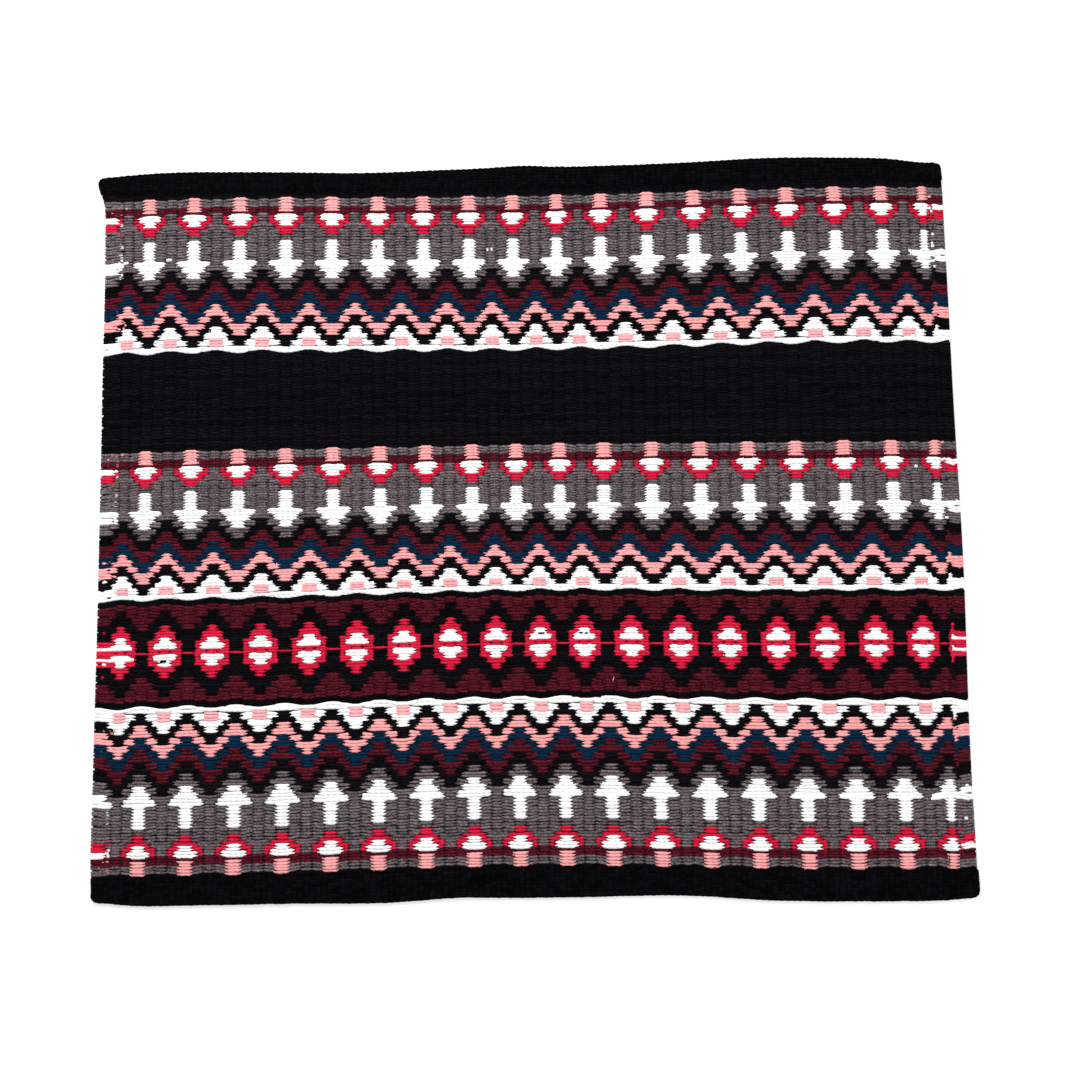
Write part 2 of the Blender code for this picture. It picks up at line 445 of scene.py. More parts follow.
@dataclass(frozen=True)
class Lay:
    """How the cloth lies on the ground: bowed rows, uneven edges, bunched columns and the old crease."""

    bows: tuple[Bow, ...] = (
        Bow(432, 0.7, 0.3, 5.0),
        Bow(402, 1.5, -2.0, 2.0),
        Bow(300, 2.0, -2.0, 1.0),
        Bow(207, 2.5, -1.0, 2.0),
        Bow(92, -4.5, -3.0, -5.5),
        Bow(45, -3.4, -3.1, -5.3),
        Bow(15, -1.5, 0.6, -3.2),
        Bow(0, -2.5, 1.0, -4.5),
        Bow(-85, -1.0, 3.5, -2.0),
        Bow(-127, -2.2, 2.6, -3.2),
        Bow(-163, -0.8, 4.3, -1.8),
        Bow(-211, -1.0, 4.5, -3.5),
        Bow(-225, -2.1, 3.5, -4.6),
        Bow(-255, -1.0, 4.8, -3.8),
        Bow(-285, -2.0, 4.0, -5.0),
        Bow(-367, -4.2, 1.8, -6.4),
        Bow(-404, -2.5, 3.0, -5.5),
        Bow(-432, -5.8, -2.5, -11.5),
    )
    bow_reach: float = 400 * MM
    pushes: tuple[Push, ...] = (
        Push((-410, 434), (0, 1.5), (45, 12)),
        Push((-190, 434), (0, -3.5), (60, 12)),
        Push((0, 434), (0, 2.5), (25, 12)),
        Push((300, 434), (0, 3), (60, 14)),
        Push((495, 434), (0, -6), (32, 14)),
        Push((-500, 434), (0, -2.5), (20, 12)),
        Push((-87, -434), (0, 2), (35, 12)),
        Push((200, -434), (0, 0.8), (40, 12)),
        Push((-500, -434), (0, 5), (25, 14)),
        Push((-175, -434), (0, -2.5), (50, 12)),
        Push((165, -434), (0, 3.5), (55, 14)),
        Push((500, -434), (0, 3), (20, 14)),
        Push((-508, 422), (-7, 0), (22, 14)),
        Push((-508, -422), (3.5, 0), (25, 16)),
        Push((508, 424), (-2.5, 0), (22, 12)),
        Push((-503, 0), (6.3, 0), (45, 420)),
        Push((-503, 310), (1.3, 0), (40, 70)),
        Push((503, 0), (-2.3, 0), (30, 600)),
        Push((503, 340), (-1.2, 0), (30, 60)),
        Push((503, 0), (0, -2), (45, 600)),
        Push((-503, 0), (0, -1.8), (45, 600)),
        Push((503, -30), (3, 0), (60, 110)),
        Push((503, -400), (2, 0), (60, 60)),
        Push((95, 300), (-4, 0), (45, 120)),
        Push((95, -40), (-6, 0), (50, 130)),
        Push((95, -310), (-2.5, 0), (48, 90)),
        Push((-155, 0), (4, 0), (110, 600)),
        Push((-320, -50), (1.3, 0), (70, 400)),
        Push((-66, 0), (1.2, 0), (25, 500)),
        Push((-455, -60), (-1.2, 0), (22, 400)),
        Push((180, 50), (-1.1, 0), (30, 350)),
        Push((340, -100), (1, 0), (60, 300)),
        Push((-190, -70), (2.5, 0), (90, 130)),
        Push((430, 330), (5.5, 0), (70, 130)),
        Push((430, -110), (4, 0), (75, 220)),
    )
    farthest_share: float = 1.15
    crease_depth: float = 0.7 * MM
    crease_width: float = 4 * MM
    crease_power: float = 2.0
    lift: float = 0.9 * MM
    lift_across: float = 23.0
    lift_along: float = 31.0
    lift_skew: float = 9.0
    lift_start: float = 1.3
    flat_margin: float = 395 * MM
    flat_fade: float = 50 * MM
    face_level: float = 4.5 * MM

    def place(self, points: np.ndarray) -> np.ndarray:
        """Move points of the square cloth to where they lie.

        Args:
            points: Rows of x, y and z in metres.

        Returns:
            The moved points.
        """
        moved = points.copy()
        moved[:, 1] += self.bowed(points)
        for push in self.pushes:
            far_x = (points[:, 0] - push.at[0] * MM) / (push.reach[0] * MM)
            far_y = (points[:, 1] - push.at[1] * MM) / (push.reach[1] * MM)
            fade = np.exp(-(far_x**2 + far_y**2) / 2)
            moved[:, 0] += push.by[0] * MM * fade
            moved[:, 1] += push.by[1] * MM * fade
        inside = np.clip((self.flat_margin - np.abs(points[:, 1])) / self.flat_fade, 0, 1)
        wave = np.sin(points[:, 0] * self.lift_across + self.lift_start)
        wave *= np.sin(points[:, 1] * self.lift_along + points[:, 0] * self.lift_skew)
        moved[:, 2] += self.lift * (1 + wave) / 2 * inside
        upper = np.clip(points[:, 2] / self.face_level, 0, 1) ** self.crease_power
        crease = np.exp(-((points[:, 0] / self.crease_width) ** 2))
        moved[:, 2] -= self.crease_depth * crease * inside * upper
        return moved

    def bowed(self, points: np.ndarray) -> np.ndarray:
        """How far each point's row lies off level there.

        Args:
            points: Rows of x, y and z in metres.

        Returns:
            The distances in metres.
        """
        rising = sorted(self.bows, key=lambda bow: bow.y)
        heights = [bow.y * MM for bow in rising]
        left, middle, right = (
            np.interp(points[:, 1], heights, [getattr(bow, part) for bow in rising])
            for part in ("left", "middle", "right")
        )
        far = np.minimum(np.abs(points[:, 0]) / self.bow_reach, self.farthest_share)
        outward = np.sin(far * math.pi / 2) ** 2
        side = np.where(points[:, 0] < 0, left, right)
        return (middle + (side - middle) * outward) * MM


class Strands:
    """Lines of points, on the square cloth, that the yarn of one piece follows."""

    def __init__(self) -> None:
        """Start with no line."""
        self.points: list[Point] = []
        self.swell: list[float] = []
        self.shade: list[float] = []
        self.edges: list[tuple[int, int]] = []

    def add(self, path: list[Point], swell: list[float], shade: float) -> None:
        """Add one open line.

        Args:
            path: Its points.
            swell: The yarn's thickness at each point, as a share of the full one.
            shade: How light this run of yarn is, from 0 to 1.
        """
        first = len(self.points)
        self.points.extend(path)
        self.swell.extend(swell)
        self.shade.extend([shade] * len(path))
        self.edges.extend((first + i, first + i + 1) for i in range(len(path) - 1))

    def mesh(self, name: str, lay: Lay) -> Mesh:
        """Make the mesh of edges that the yarn tree starts from.

        Args:
            name: Name of the mesh.
            lay: How the cloth lies.

        Returns:
            The mesh, with the swell and shade of each point.
        """
        mesh = bpy.data.meshes.new(name)
        placed = lay.place(np.array(self.points))
        mesh.from_pydata(placed.tolist(), self.edges, [])
        for key, values in (("swell", self.swell), ("shade", self.shade)):
            attribute = mesh.attributes.new(key, "FLOAT", "POINT")
            attribute.data.foreach_set("value", np.array(values, dtype=np.float32))
        return mesh


class YarnTree:
    """A Geometry Nodes tree that lays closed yarn along each line of a mesh of edges."""

    def __init__(self) -> None:
        """Build the tree once for every piece."""
        self.tree = bpy.data.node_groups.new("yarn_along_lines", "GeometryNodeTree")
        face = self.tree.interface
        face.new_socket("Geometry", in_out="INPUT", socket_type="NodeSocketGeometry")
        for name in ("Half Width", "Half Depth", "Arc Start", "Arc Sweep"):
            face.new_socket(name, in_out="INPUT", socket_type="NodeSocketFloat")
        face.new_socket("Arc Points", in_out="INPUT", socket_type="NodeSocketInt")
        face.new_socket("Material", in_out="INPUT", socket_type="NodeSocketMaterial")
        face.new_socket("Geometry", in_out="OUTPUT", socket_type="NodeSocketGeometry")
        self.build(Bench(self.tree))

    def named(self, bench: Bench, name: str) -> NodeSocket:
        """The socket of a value kept under a name."""
        return bench.add("GeometryNodeInputNamedAttribute", {"data_type": "FLOAT"}, Name=name).outputs[0]

    def build(self, bench: Bench) -> None:
        """Lay out the nodes: lines to curves, a closed section, then caps, UV map and finish.

        Args:
            bench: The tree.
        """
        given = bench.add("NodeGroupInput").outputs
        swell = self.named(bench, "swell")
        lines = bench.add("GeometryNodeMeshToCurve", Mesh=given["Geometry"])
        along = bench.add("GeometryNodeSplineParameter").outputs["Length"]
        lines = self.store(bench, lines.outputs[0], "along", along, "FLOAT", "POINT")
        arc = bench.add(
            "GeometryNodeCurveArc",
            {"mode": "RADIUS"},
            Resolution=given["Arc Points"],
            Radius=1.0,
            Start_Angle=given["Arc Start"],
            Sweep_Angle=given["Arc Sweep"],
        )
        ring = bench.add("GeometryNodeSetSplineCyclic", Geometry=arc.outputs[0], Cyclic=True)
        size = bench.add("ShaderNodeCombineXYZ", X=given["Half Width"], Y=given["Half Depth"], Z=1.0)
        ring = bench.add("GeometryNodeTransform", Geometry=ring.outputs[0], Scale=size.outputs[0])
        around = bench.add("GeometryNodeSplineParameter").outputs["Factor"]
        ring = self.store(bench, ring.outputs[0], "around", around, "FLOAT", "POINT")
        sizes = {"Curve": lines, "Profile_Curve": ring, "Scale": swell}
        yarn = bench.add("GeometryNodeCurveToMesh", **sizes, Fill_Caps=True)
        pair = bench.add("ShaderNodeCombineXYZ", X=self.named(bench, "along"), Y=self.named(bench, "around"))
        cloth = self.store(bench, yarn.outputs[0], "yarn", pair.outputs[0], "FLOAT2", "CORNER")
        for spent in ("along", "around"):
            cloth = bench.add("GeometryNodeRemoveAttribute", Geometry=cloth, Name=spent).outputs[0]
        cloth = bench.add("GeometryNodeSetShadeSmooth", Geometry=cloth).outputs[0]
        cloth = bench.add("GeometryNodeRealizeInstances", Geometry=cloth).outputs[0]
        cloth = bench.add("GeometryNodeSetMaterial", Geometry=cloth, Material=given["Material"]).outputs[0]
        bench.add("NodeGroupOutput", Geometry=cloth)

    def store(
        self, bench: Bench, geometry: NodeSocket, name: str, value: NodeSocket, kind: str, domain: str
    ) -> NodeSocket:
        """Keep a value under a name.

        Args:
            bench: The tree.
            geometry: What to keep it on.
            name: Its name.
            value: The value.
            kind: Its data type.
            domain: Points or corners.

        Returns:
            The geometry with the value on it.
        """
        node = bench.add("GeometryNodeStoreNamedAttribute", {"data_type": kind, "domain": domain})
        bench.put(node.inputs["Geometry"], geometry)
        bench.put(node.inputs["Name"], name)
        bench.put(node.inputs["Value"], value)
        return node.outputs[0]

    def spin(self, name: str, strands: Strands, lay: Lay, cut: "Section", material: Material) -> Object:
        """Make a piece of yarn from its lines.

        Args:
            name: Name of the piece.
            strands: The lines.
            lay: How the cloth lies.
            cut: The yarn's section.
            material: Its finish.

        Returns:
            The piece as a plain mesh.
        """
        mesh = strands.mesh(name, lay)
        piece = add_object(name, mesh)
        spinner = piece.modifiers.new("yarn", "NODES")
        spinner.node_group = self.tree
        values = {
            "Half Width": cut.half_width,
            "Half Depth": cut.half_depth,
            "Arc Start": cut.start,
            "Arc Sweep": cut.sweep,
            "Arc Points": cut.points,
            "Material": material,
        }
        for item in self.tree.interface.items_tree:
            if item.name in values:
                spinner[item.identifier] = values[item.name]
        graph = bpy.context.evaluated_depsgraph_get()
        spun = piece.evaluated_get(graph)
        plain = bpy.data.meshes.new_from_object(spun, preserve_all_data_layers=True, depsgraph=graph)
        piece.modifiers.clear()
        piece.data = plain
        bpy.data.meshes.remove(mesh)
        plain.name = name
        return piece


@dataclass(frozen=True)
class Section:
    """The section of a yarn: an arc closed by a chord."""

    half_width: float
    half_depth: float
    start: float
    sweep: float
    points: int

    @staticmethod
    def half_round(half_width: float, half_depth: float) -> "Section":
        """A section with a round upper side and a narrow flat under it."""
        return Section(half_width, half_depth, start=math.radians(-20), sweep=math.radians(220), points=5)

    @staticmethod
    def whole(half_width: float, half_depth: float) -> "Section":
        """A section round on all sides."""
        return Section(half_width, half_depth, start=0.0, sweep=math.radians(300), points=6)


# The yarns that one block of warp ends shows, each with its number of rows, from front to rear.
Draft = tuple[tuple[Yarn, int], ...]

# The flame is alike in every block and starts at another row in each, which makes its zigzag.
FLAME: Draft = ((Yarn.BLACK, 4), (Yarn.MAROON, 4), (Yarn.NAVY, 4), (Yarn.SALMON, 4), (Yarn.BLACK, 4))
# The white line, with the pink squares that stand in it.
SQUARES: Draft = ((Yarn.WHITE, 4), (Yarn.PINK, 3), (Yarn.WHITE, 1))

# The salmon stripe with its blocks, the cups, the crosses, the flame and the white line.
FIGURES: dict[Block, Draft] = {
    Block.FIGURE: (
        (Yarn.SALMON, 5), (Yarn.MAROON, 1), (Yarn.WHITE, 4), (Yarn.CRIMSON, 3), (Yarn.CHARCOAL, 2),
        (Yarn.WHITE, 13), (Yarn.CHARCOAL, 4), *FLAME, (Yarn.WHITE, 2),
    ),
    Block.ARM: (
        (Yarn.CHARCOAL, 3), (Yarn.MAROON, 3), (Yarn.WHITE, 2), (Yarn.CRIMSON, 3), (Yarn.CHARCOAL, 11),
        (Yarn.WHITE, 4), (Yarn.CHARCOAL, 4), *FLAME, (Yarn.WHITE, 4),
    ),
    Block.FLANK: (
        (Yarn.CHARCOAL, 3), (Yarn.MAROON, 3), (Yarn.CRIMSON, 3), (Yarn.CHARCOAL, 13), (Yarn.WHITE, 2),
        (Yarn.CHARCOAL, 4), *FLAME, (Yarn.WHITE, 6),
    ),
    Block.FIELD: ((Yarn.CHARCOAL, 3), (Yarn.MAROON, 3), (Yarn.CHARCOAL, 20), *FLAME, *SQUARES),
}

# The first band's field has one row of maroon less than the others'.
FRONT_FIELD: Draft = ((Yarn.CHARCOAL, 3), (Yarn.MAROON, 2), (Yarn.CHARCOAL, 21), *FLAME, *SQUARES)

# The ovals of crimson and white on black, between two maroon zigzags.
OVALS: dict[Block, Draft] = {
    Block.FIGURE: (
        (Yarn.BLACK, 2), (Yarn.MAROON, 8), (Yarn.BLACK, 8), (Yarn.CRIMSON, 1), (Yarn.BLACK, 8),
        (Yarn.MAROON, 8), (Yarn.BLACK, 2),
    ),
    Block.ARM: (
        (Yarn.BLACK, 2), (Yarn.MAROON, 6), (Yarn.BLACK, 6), (Yarn.CRIMSON, 9), (Yarn.BLACK, 6),
        (Yarn.MAROON, 6), (Yarn.BLACK, 2),
    ),
    Block.FLANK: (
        (Yarn.BLACK, 2), (Yarn.MAROON, 4), (Yarn.BLACK, 5), (Yarn.CRIMSON, 4), (Yarn.WHITE, 2),
        (Yarn.CRIMSON, 2), (Yarn.WHITE, 2), (Yarn.CRIMSON, 4), (Yarn.BLACK, 6), (Yarn.MAROON, 4),
        (Yarn.BLACK, 2),
    ),
    Block.FIELD: (
        (Yarn.BLACK, 2), (Yarn.MAROON, 2), (Yarn.BLACK, 5), (Yarn.CRIMSON, 4), (Yarn.WHITE, 4),
        (Yarn.CRIMSON, 2), (Yarn.WHITE, 4), (Yarn.CRIMSON, 4), (Yarn.BLACK, 6), (Yarn.MAROON, 2),
        (Yarn.BLACK, 2),
    ),
}

# What the ovals' rows show at the two selvages.
OVAL_EDGE: Draft = (
    (Yarn.BLACK, 2), (Yarn.MAROON, 6), (Yarn.BLACK, 6), (Yarn.CRIMSON, 2), (Yarn.WHITE, 1), (Yarn.CRIMSON, 3),
    (Yarn.WHITE, 1), (Yarn.CRIMSON, 2), (Yarn.BLACK, 6), (Yarn.MAROON, 6), (Yarn.BLACK, 2),
)


def plain(rows: int) -> dict[Block, Draft]:
    """A draft of black rows in every block."""
    return {block: ((Yarn.BLACK, rows),) for block in Block}


def written_out(draft: Draft) -> list[Yarn]:
    """The yarn of each row of a draft."""
    return [yarn for yarn, rows in draft for _ in range(rows)]


@dataclass(frozen=True)
class Unit:
    """One block of warp ends at one place across the cloth."""

    block: Block
    left: float
    right: float


@dataclass
class Loom:
    """The warp's set-up: the blocks in point order, repeat by repeat, across the cloth."""

    half_width: float = 503 * MM
    repeat: float = 54.8 * MM
    first_figure: float = -450 * MM
    figure_share: float = 0.256
    arm_share: float = 0.134
    flank_share: float = 0.122
    field_share: float = 0.232
    last_figure: float = 10 * MM
    last_arm: float = 3.6 * MM
    order: tuple[Block, ...] = (
        Block.FIGURE, Block.ARM, Block.FLANK, Block.FIELD, Block.FLANK, Block.ARM,
    )

    def width(self, block: Block) -> float:
        """How wide a block is."""
        return getattr(self, f"{block.value}_share") * self.repeat

    def units(self) -> list[Unit]:
        """List the blocks from the left selvage to the right one.

        Returns:
            The units, with an arm block of its own at each selvage.
        """
        made: list[Unit] = []
        right = self.first_figure - self.width(Block.FIGURE) / 2
        for block in (Block.ARM, Block.FLANK, Block.FIELD, Block.FLANK):
            left = right - self.width(block)
            made.insert(0, Unit(block, left, right))
            right = left
        made.insert(0, Unit(Block.ARM, -self.half_width, right))
        left = made[-1].right
        number = 0
        while left < self.half_width - self.width(Block.FIGURE):
            block = self.order[number % len(self.order)]
            right = left + self.width(block)
            made.append(Unit(block, left, right))
            left = right
            number += 1
        while made[-1].block is not Block.FIGURE:
            made.pop()
        left = made.pop().left
        ends = [(Block.FIGURE, self.last_figure), (Block.ARM, self.last_arm), (Block.FLANK, self.last_arm)]
        for block, wide in ends:
            made.append(Unit(block, left, left + wide))
            left += wide
        made.append(Unit(Block.ARM, left, self.half_width))
        return made

    def wave(self, x: float) -> float:
        """The angle of a place in its repeat, 0 at a figure column."""
        return FULL_TURN * (x - self.first_figure) / self.repeat


@dataclass(frozen=True)
class Beat:
    """How far the rows stand off level at one height: a stagger's sign, and two waves' heights in mm."""

    y: float
    stagger: float
    first: float
    second: float


@dataclass(frozen=True)
class Knot:
    """One point of a stray bit of yarn: its share of the half length, its dip in mm and its thickness."""

    share: float
    dip: float
    swell: float


SNAG_KNOTS = (
    Knot(-1.25, 1.8, 0.45),
    Knot(-0.75, 0, 0.95),
    Knot(0, -0.2, 1),
    Knot(0.75, 0, 0.95),
    Knot(1.25, 1.8, 0.45),
)


@dataclass(frozen=True)
class Snag:
    """A stray bit of yarn on the face: its middle, half length, slope and curl in mm, and its thickness."""

    yarn: Yarn
    at: Pair
    half: float
    slope: float
    curl: float = 0.0
    thick: float = 0.8

    def lay(self, top: float, strands: Strands) -> None:
        """Draw it.

        Args:
            top: The height of its crest.
            strands: Where its line goes.
        """
        path = []
        for knot in SNAG_KNOTS:
            off = knot.share * self.half
            y = self.at[1] + off * self.slope + self.curl * (1 - knot.share**2)
            path.append(((self.at[0] + off) * MM, y * MM, top - knot.dip * MM))
        strands.add(path, [self.thick * knot.swell for knot in SNAG_KNOTS], MIDDLE_SHADE)


@dataclass(frozen=True)
class Cord:
    """The selvage cord, twisted of two plies, that the picks turn round."""

    x: float = 504.2 * MM
    z: float = 3.05 * MM
    radius: float = 0.7 * MM
    ply_share: float = 0.6
    twist_length: float = 9 * MM
    steps: int = 260

    def ply(self, x: float, start: float, end: float, turned: float) -> list[Point]:
        """Wind one ply.

        Args:
            x: Place of the cord across the cloth.
            start: Where it starts along the selvage.
            end: Where it ends.
            turned: The angle that it starts from.

        Returns:
            Its points.
        """
        off = self.radius * self.ply_share
        made = []
        for number in range(self.steps + 1):
            y = start + (end - start) * number / self.steps
            angle = y / self.twist_length * FULL_TURN + turned
            made.append((x + off * math.cos(angle), y, self.z + off * math.sin(angle)))
        return made


@dataclass(frozen=True)
class End:
    """A run's ends: how far they pass its blocks, how long they rise, their dip and their thickness."""

    overlap: float
    shoulder: float
    dip: float
    swell: float = 0.1


@dataclass(frozen=True)
class Run:
    """One visible run of yarn in a row."""

    yarn: Yarn
    left: float
    right: float
    side: Side
    blocks: int = 1
    reach: float = 0.0
    snug: bool = False
    thin: bool = False


@dataclass
class Band:
    """A woven part of the cloth, with its draft and the CAD nodes that it stands for."""

    name: str
    top_node: str
    bottom_node: str
    drafts: dict[Block, Draft]
    replaced: dict[Yarn, tuple[str, ...]]
    mirrored: bool = False
    selvage: Draft = ()
    rows: dict[Block, list[Yarn]] = field(default_factory=dict)
    top: float = 0.0
    pitch: float = 0.0

    def __post_init__(self) -> None:
        """Write the drafts out and read the band's place from its nodes."""
        for block, draft in self.drafts.items():
            written = written_out(draft)
            self.rows[block] = written[::-1] if self.mirrored else written
        self.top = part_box(f"{self.top_node}_left")[1].y
        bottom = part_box(f"{self.bottom_node}_left")[0].y
        self.pitch = (self.top - bottom) / self.count()

    def shown(self, units: list[Unit], row: int) -> list[tuple[Unit, Yarn]]:
        """The yarn that shows on each block in one row.

        Args:
            units: The blocks from selvage to selvage.
            row: The row.

        Returns:
            Each unit with its yarn.
        """
        made = [(unit, self.rows[unit.block][row]) for unit in units]
        if self.selvage:
            yarn = written_out(self.selvage)[row]
            made[0] = (units[0], yarn)
            made[-1] = (units[-1], yarn)
        return made

    def count(self) -> int:
        """The number of rows."""
        return len(self.rows[Block.FIGURE])

    def row_height(self, row: int) -> float:
        """The middle of a row."""
        return self.top - (row + 0.5) * self.pitch


@dataclass
class Weaver:
    """Weaves the bands: it decides where each yarn shows, and draws the line that it follows."""

    loom: Loom
    cord: Cord
    seed: int = 11
    joined_blocks: int = 3
    arm_blocks: int = 5
    pair_end: End = End(overlap=1.9 * MM, shoulder=4.4 * MM, dip=-0.15 * MM)
    lone_end: End = End(overlap=1.9 * MM, shoulder=4.6 * MM, dip=-0.55 * MM)
    back_overlap: float = 1.5 * MM
    snug_overlap: float = 3.6 * MM
    snug_swell: float = 0.75
    blunt_swell: float = 0.65
    round_swell: float = 0.35
    bright_fade: float = 0.7
    thin_share: float = 0.7
    drawn_in: float = 1.2 * MM
    spread: float = 0.25 * MM
    shoulder_share: float = 0.45
    rise_share: float = 0.45
    face_spacing: float = 7 * MM
    back_spacing: float = 11 * MM
    back_inset: float = 5 * MM
    back_shortest: float = 6 * MM
    face_height: float = 4.5 * MM
    back_height: float = 1.9 * MM
    narrow: float = 8 * MM
    wide: float = 17.6 * MM
    lone_lean: float = -0.35
    lone_sway: float = 0.2
    wide_lean: float = 0.5
    wide_sway: float = 0.3
    droop: float = 0.085
    droop_level: float = 0.3
    half_stagger: float = 1.72 * MM
    overlap_range: Pair = (0.7, 1.3)
    narrow_shoulders: Pair = (0.4, 0.49)
    short_slopes: Pair = (-0.11, 0.09)
    long_slopes: Pair = (-0.04, 0.03)
    snug_slope_share: float = 0.15
    wander_share: float = 0.09
    snug_wander_share: float = 0.027
    thicknesses: Pair = (0.93, 1.08)
    lift: float = 0.12 * MM
    row_tone_share: float = 0.55
    run_tone_share: float = 0.45
    turn_radius: float = 1.7 * MM
    turn_angles: tuple[float, ...] = (-60, 0, 55)
    turn_start: Pair = (4 * MM, 1.5 * MM)
    turn_reach: float = 3 * MM
    turn_swells: tuple[float, ...] = (0.6, 1.0, 1.05, 1.05, 1.0)
    turned_points: int = 3
    catches_left: float = 0.6
    catches_right: float = 0.3
    catch_wander: float = 1.2 * MM
    catch_halves: Pair = (1.4 * MM, 3.2 * MM)
    fleck_insets: tuple[float, ...] = (6.5 * MM, 11 * MM, 22 * MM)
    fleck_chance: float = 0.3
    fleck_wander: float = 1.5 * MM
    fleck_halves: Pair = (0.6 * MM, 1.6 * MM)
    loop_slant: float = 0.8 * MM
    loop_lift: float = 0.7 * MM
    loop_dip: float = 1.8 * MM
    loop_tail: float = 1 * MM
    loop_swells: tuple[float, ...] = (0.4, 0.75, 0.75, 0.4)
    snag_lift: float = 0.9 * MM
    snags: tuple[Snag, ...] = (
        Snag(Yarn.BLACK, (17, -136), 4.2, 0.0, 0.0, 0.55),
        Snag(Yarn.BLACK, (66.6, -135.6), 2.6, 0.0, 0.0, 0.5),
        Snag(Yarn.BLACK, (73.2, -136.2), 2.2, 0.0, 0.0, 0.45),
        Snag(Yarn.WHITE, (-43.5, 331.6), 1.1, 0.1),
        Snag(Yarn.WHITE, (-38.3, 332.3), 1.1, 0.1),
        Snag(Yarn.WHITE, (-425, 322.4), 3.4, 0.05),
        Snag(Yarn.WHITE, (-480.5, 320.3), 3.2, 0.3),
        Snag(Yarn.CRIMSON, (-178, 337), 0.9, 0.0),
        Snag(Yarn.WHITE, (455, 63.7), 1.8, -0.2),
        Snag(Yarn.WHITE, (496.8, -344.7), 1.8, -0.2),
        Snag(Yarn.CRIMSON, (457.6, -362.4), 1.2, 0.2),
        Snag(Yarn.WHITE, (-489.2, 319.9), 2.8, 0.5),
        Snag(Yarn.WHITE, (500, -308.3), 1.8, 0.1),
        Snag(Yarn.CRIMSON, (-498.1, -121.9), 1.8, 0.1),
        Snag(Yarn.CRIMSON, (-498.6, -175), 1.8, 0.2),
        Snag(Yarn.WHITE, (-497.3, -159.7), 2.2, -0.4),
        Snag(Yarn.BLACK, (-493.7, -48.9), 2.6, 0.5, 1.0),
        Snag(Yarn.BLACK, (-497.8, -58.4), 3.2, 0.2, -1.2),
        Snag(Yarn.SALMON, (-500, -40.3), 2.6, 0.0),
        Snag(Yarn.BLACK, (-500.5, -73.5), 2.0, 0.6, 0.8),
        Snag(Yarn.BLACK, (-492.9, -72), 3.4, 0.0, 2.2),
        Snag(Yarn.BLACK, (-493.2, -79.2), 3.4, 0.1, -2.4),
        Snag(Yarn.WHITE, (-498.5, -63.5), 3.0, 0.4, 1.4),
        Snag(Yarn.BLACK, (-424.2, -158.8), 3.8, 0.12, 0.6),
        Snag(Yarn.SALMON, (103.5, -191.0), 1.0, 2.4, 1.1, 0.3),
    )
    beats: tuple[Beat, ...] = (
        Beat(408.5, 1, 1.8, 0),
        Beat(398.7, 1, 2.5, 0.7),
        Beat(381.0, 1, 2.4, 0.3),
        Beat(346.0, 1, 1.7, 0),
        Beat(306.0, 1, 0, 0),
        Beat(207.7, 1, -0.2, 0),
        Beat(106.0, 1, 0.8, 0),
        Beat(94.0, 1, 2.5, 0.6),
        Beat(77.0, 1, 2.2, 0.3),
        Beat(42.0, 1, 1.5, 0),
        Beat(6.0, 1, 0, 0),
        Beat(-30.0, 1, 0, 0),
        Beat(-65.0, 1, 0.6, 0),
        Beat(-85.2, 1, 0.1, 0),
        Beat(-211.4, -1, -0.1, 0),
        Beat(-312.0, -1, 0, 0),
        Beat(-352.0, -1, -1.8, 0),
        Beat(-383.0, -1, -3.2, -0.3),
        Beat(-400.7, -1, -3.6, -0.7),
        Beat(-404.0, -1, -2.2, 0),
    )

    def __post_init__(self) -> None:
        """Set the blocks out and seed the small unevenness of hand weaving."""
        self.units = self.loom.units()
        self.chance = random.Random(self.seed)
        self.stray = random.Random(self.seed)
        rising = self.beats[::-1]
        self.heights = np.array([beat.y * MM for beat in rising])
        self.staggers = np.array([beat.stagger for beat in rising])
        self.firsts = np.array([beat.first * MM for beat in rising])
        self.seconds = np.array([beat.second * MM for beat in rising])

    def bulge(self, x: float, y: float) -> float:
        """How far the rows are pushed off level at one place by the long floats of the figures.

        Args:
            x: Place across the cloth.
            y: Height of the row.

        Returns:
            The distance in metres.
        """
        angle = self.loom.wave(x)
        first = float(np.interp(y, self.heights, self.firsts))
        second = float(np.interp(y, self.heights, self.seconds))
        return first * math.cos(angle) + second * math.cos(2 * angle)

    def stagger(self, x: float, y: float) -> float:
        """How far the pick that shows at one place stands above the middle of its row.

        Args:
            x: Place across the cloth.
            y: Height of the row.

        Returns:
            The distance in metres: the four blocks' picks of a row follow one another.
        """
        size = float(np.interp(y, self.heights, self.staggers)) * self.half_stagger
        return -size * math.cos(self.loom.wave(x))

    def joined(self, row: list[tuple[Unit, Yarn]]) -> list[Run]:
        """Join neighbouring blocks of one yarn where the yarn floats over them in one go.

        Args:
            row: Each unit with the yarn that shows on it.

        Returns:
            The runs of the face.
        """
        groups: list[list[tuple[Unit, Yarn]]] = []
        for unit, yarn in row:
            if groups and groups[-1][0][1] is yarn:
                groups[-1].append((unit, yarn))
            else:
                groups.append([(unit, yarn)])
        runs: list[Run] = []
        for number, group in enumerate(groups):
            middle = group[len(group) // 2][0].block
            long_arm = len(group) == self.arm_blocks and middle is Block.FIGURE and group[0][1] is Yarn.WHITE
            if len(group) <= self.joined_blocks or long_arm:
                beside = groups[number - 1][0][1]
                left, right = group[0][0].left, group[-1][0].right
                runs.append(Run(group[0][1], left, right, Side.FACE, len(group), self.reach(group, beside)))
            else:
                runs.extend(self.parted(group))
        return runs

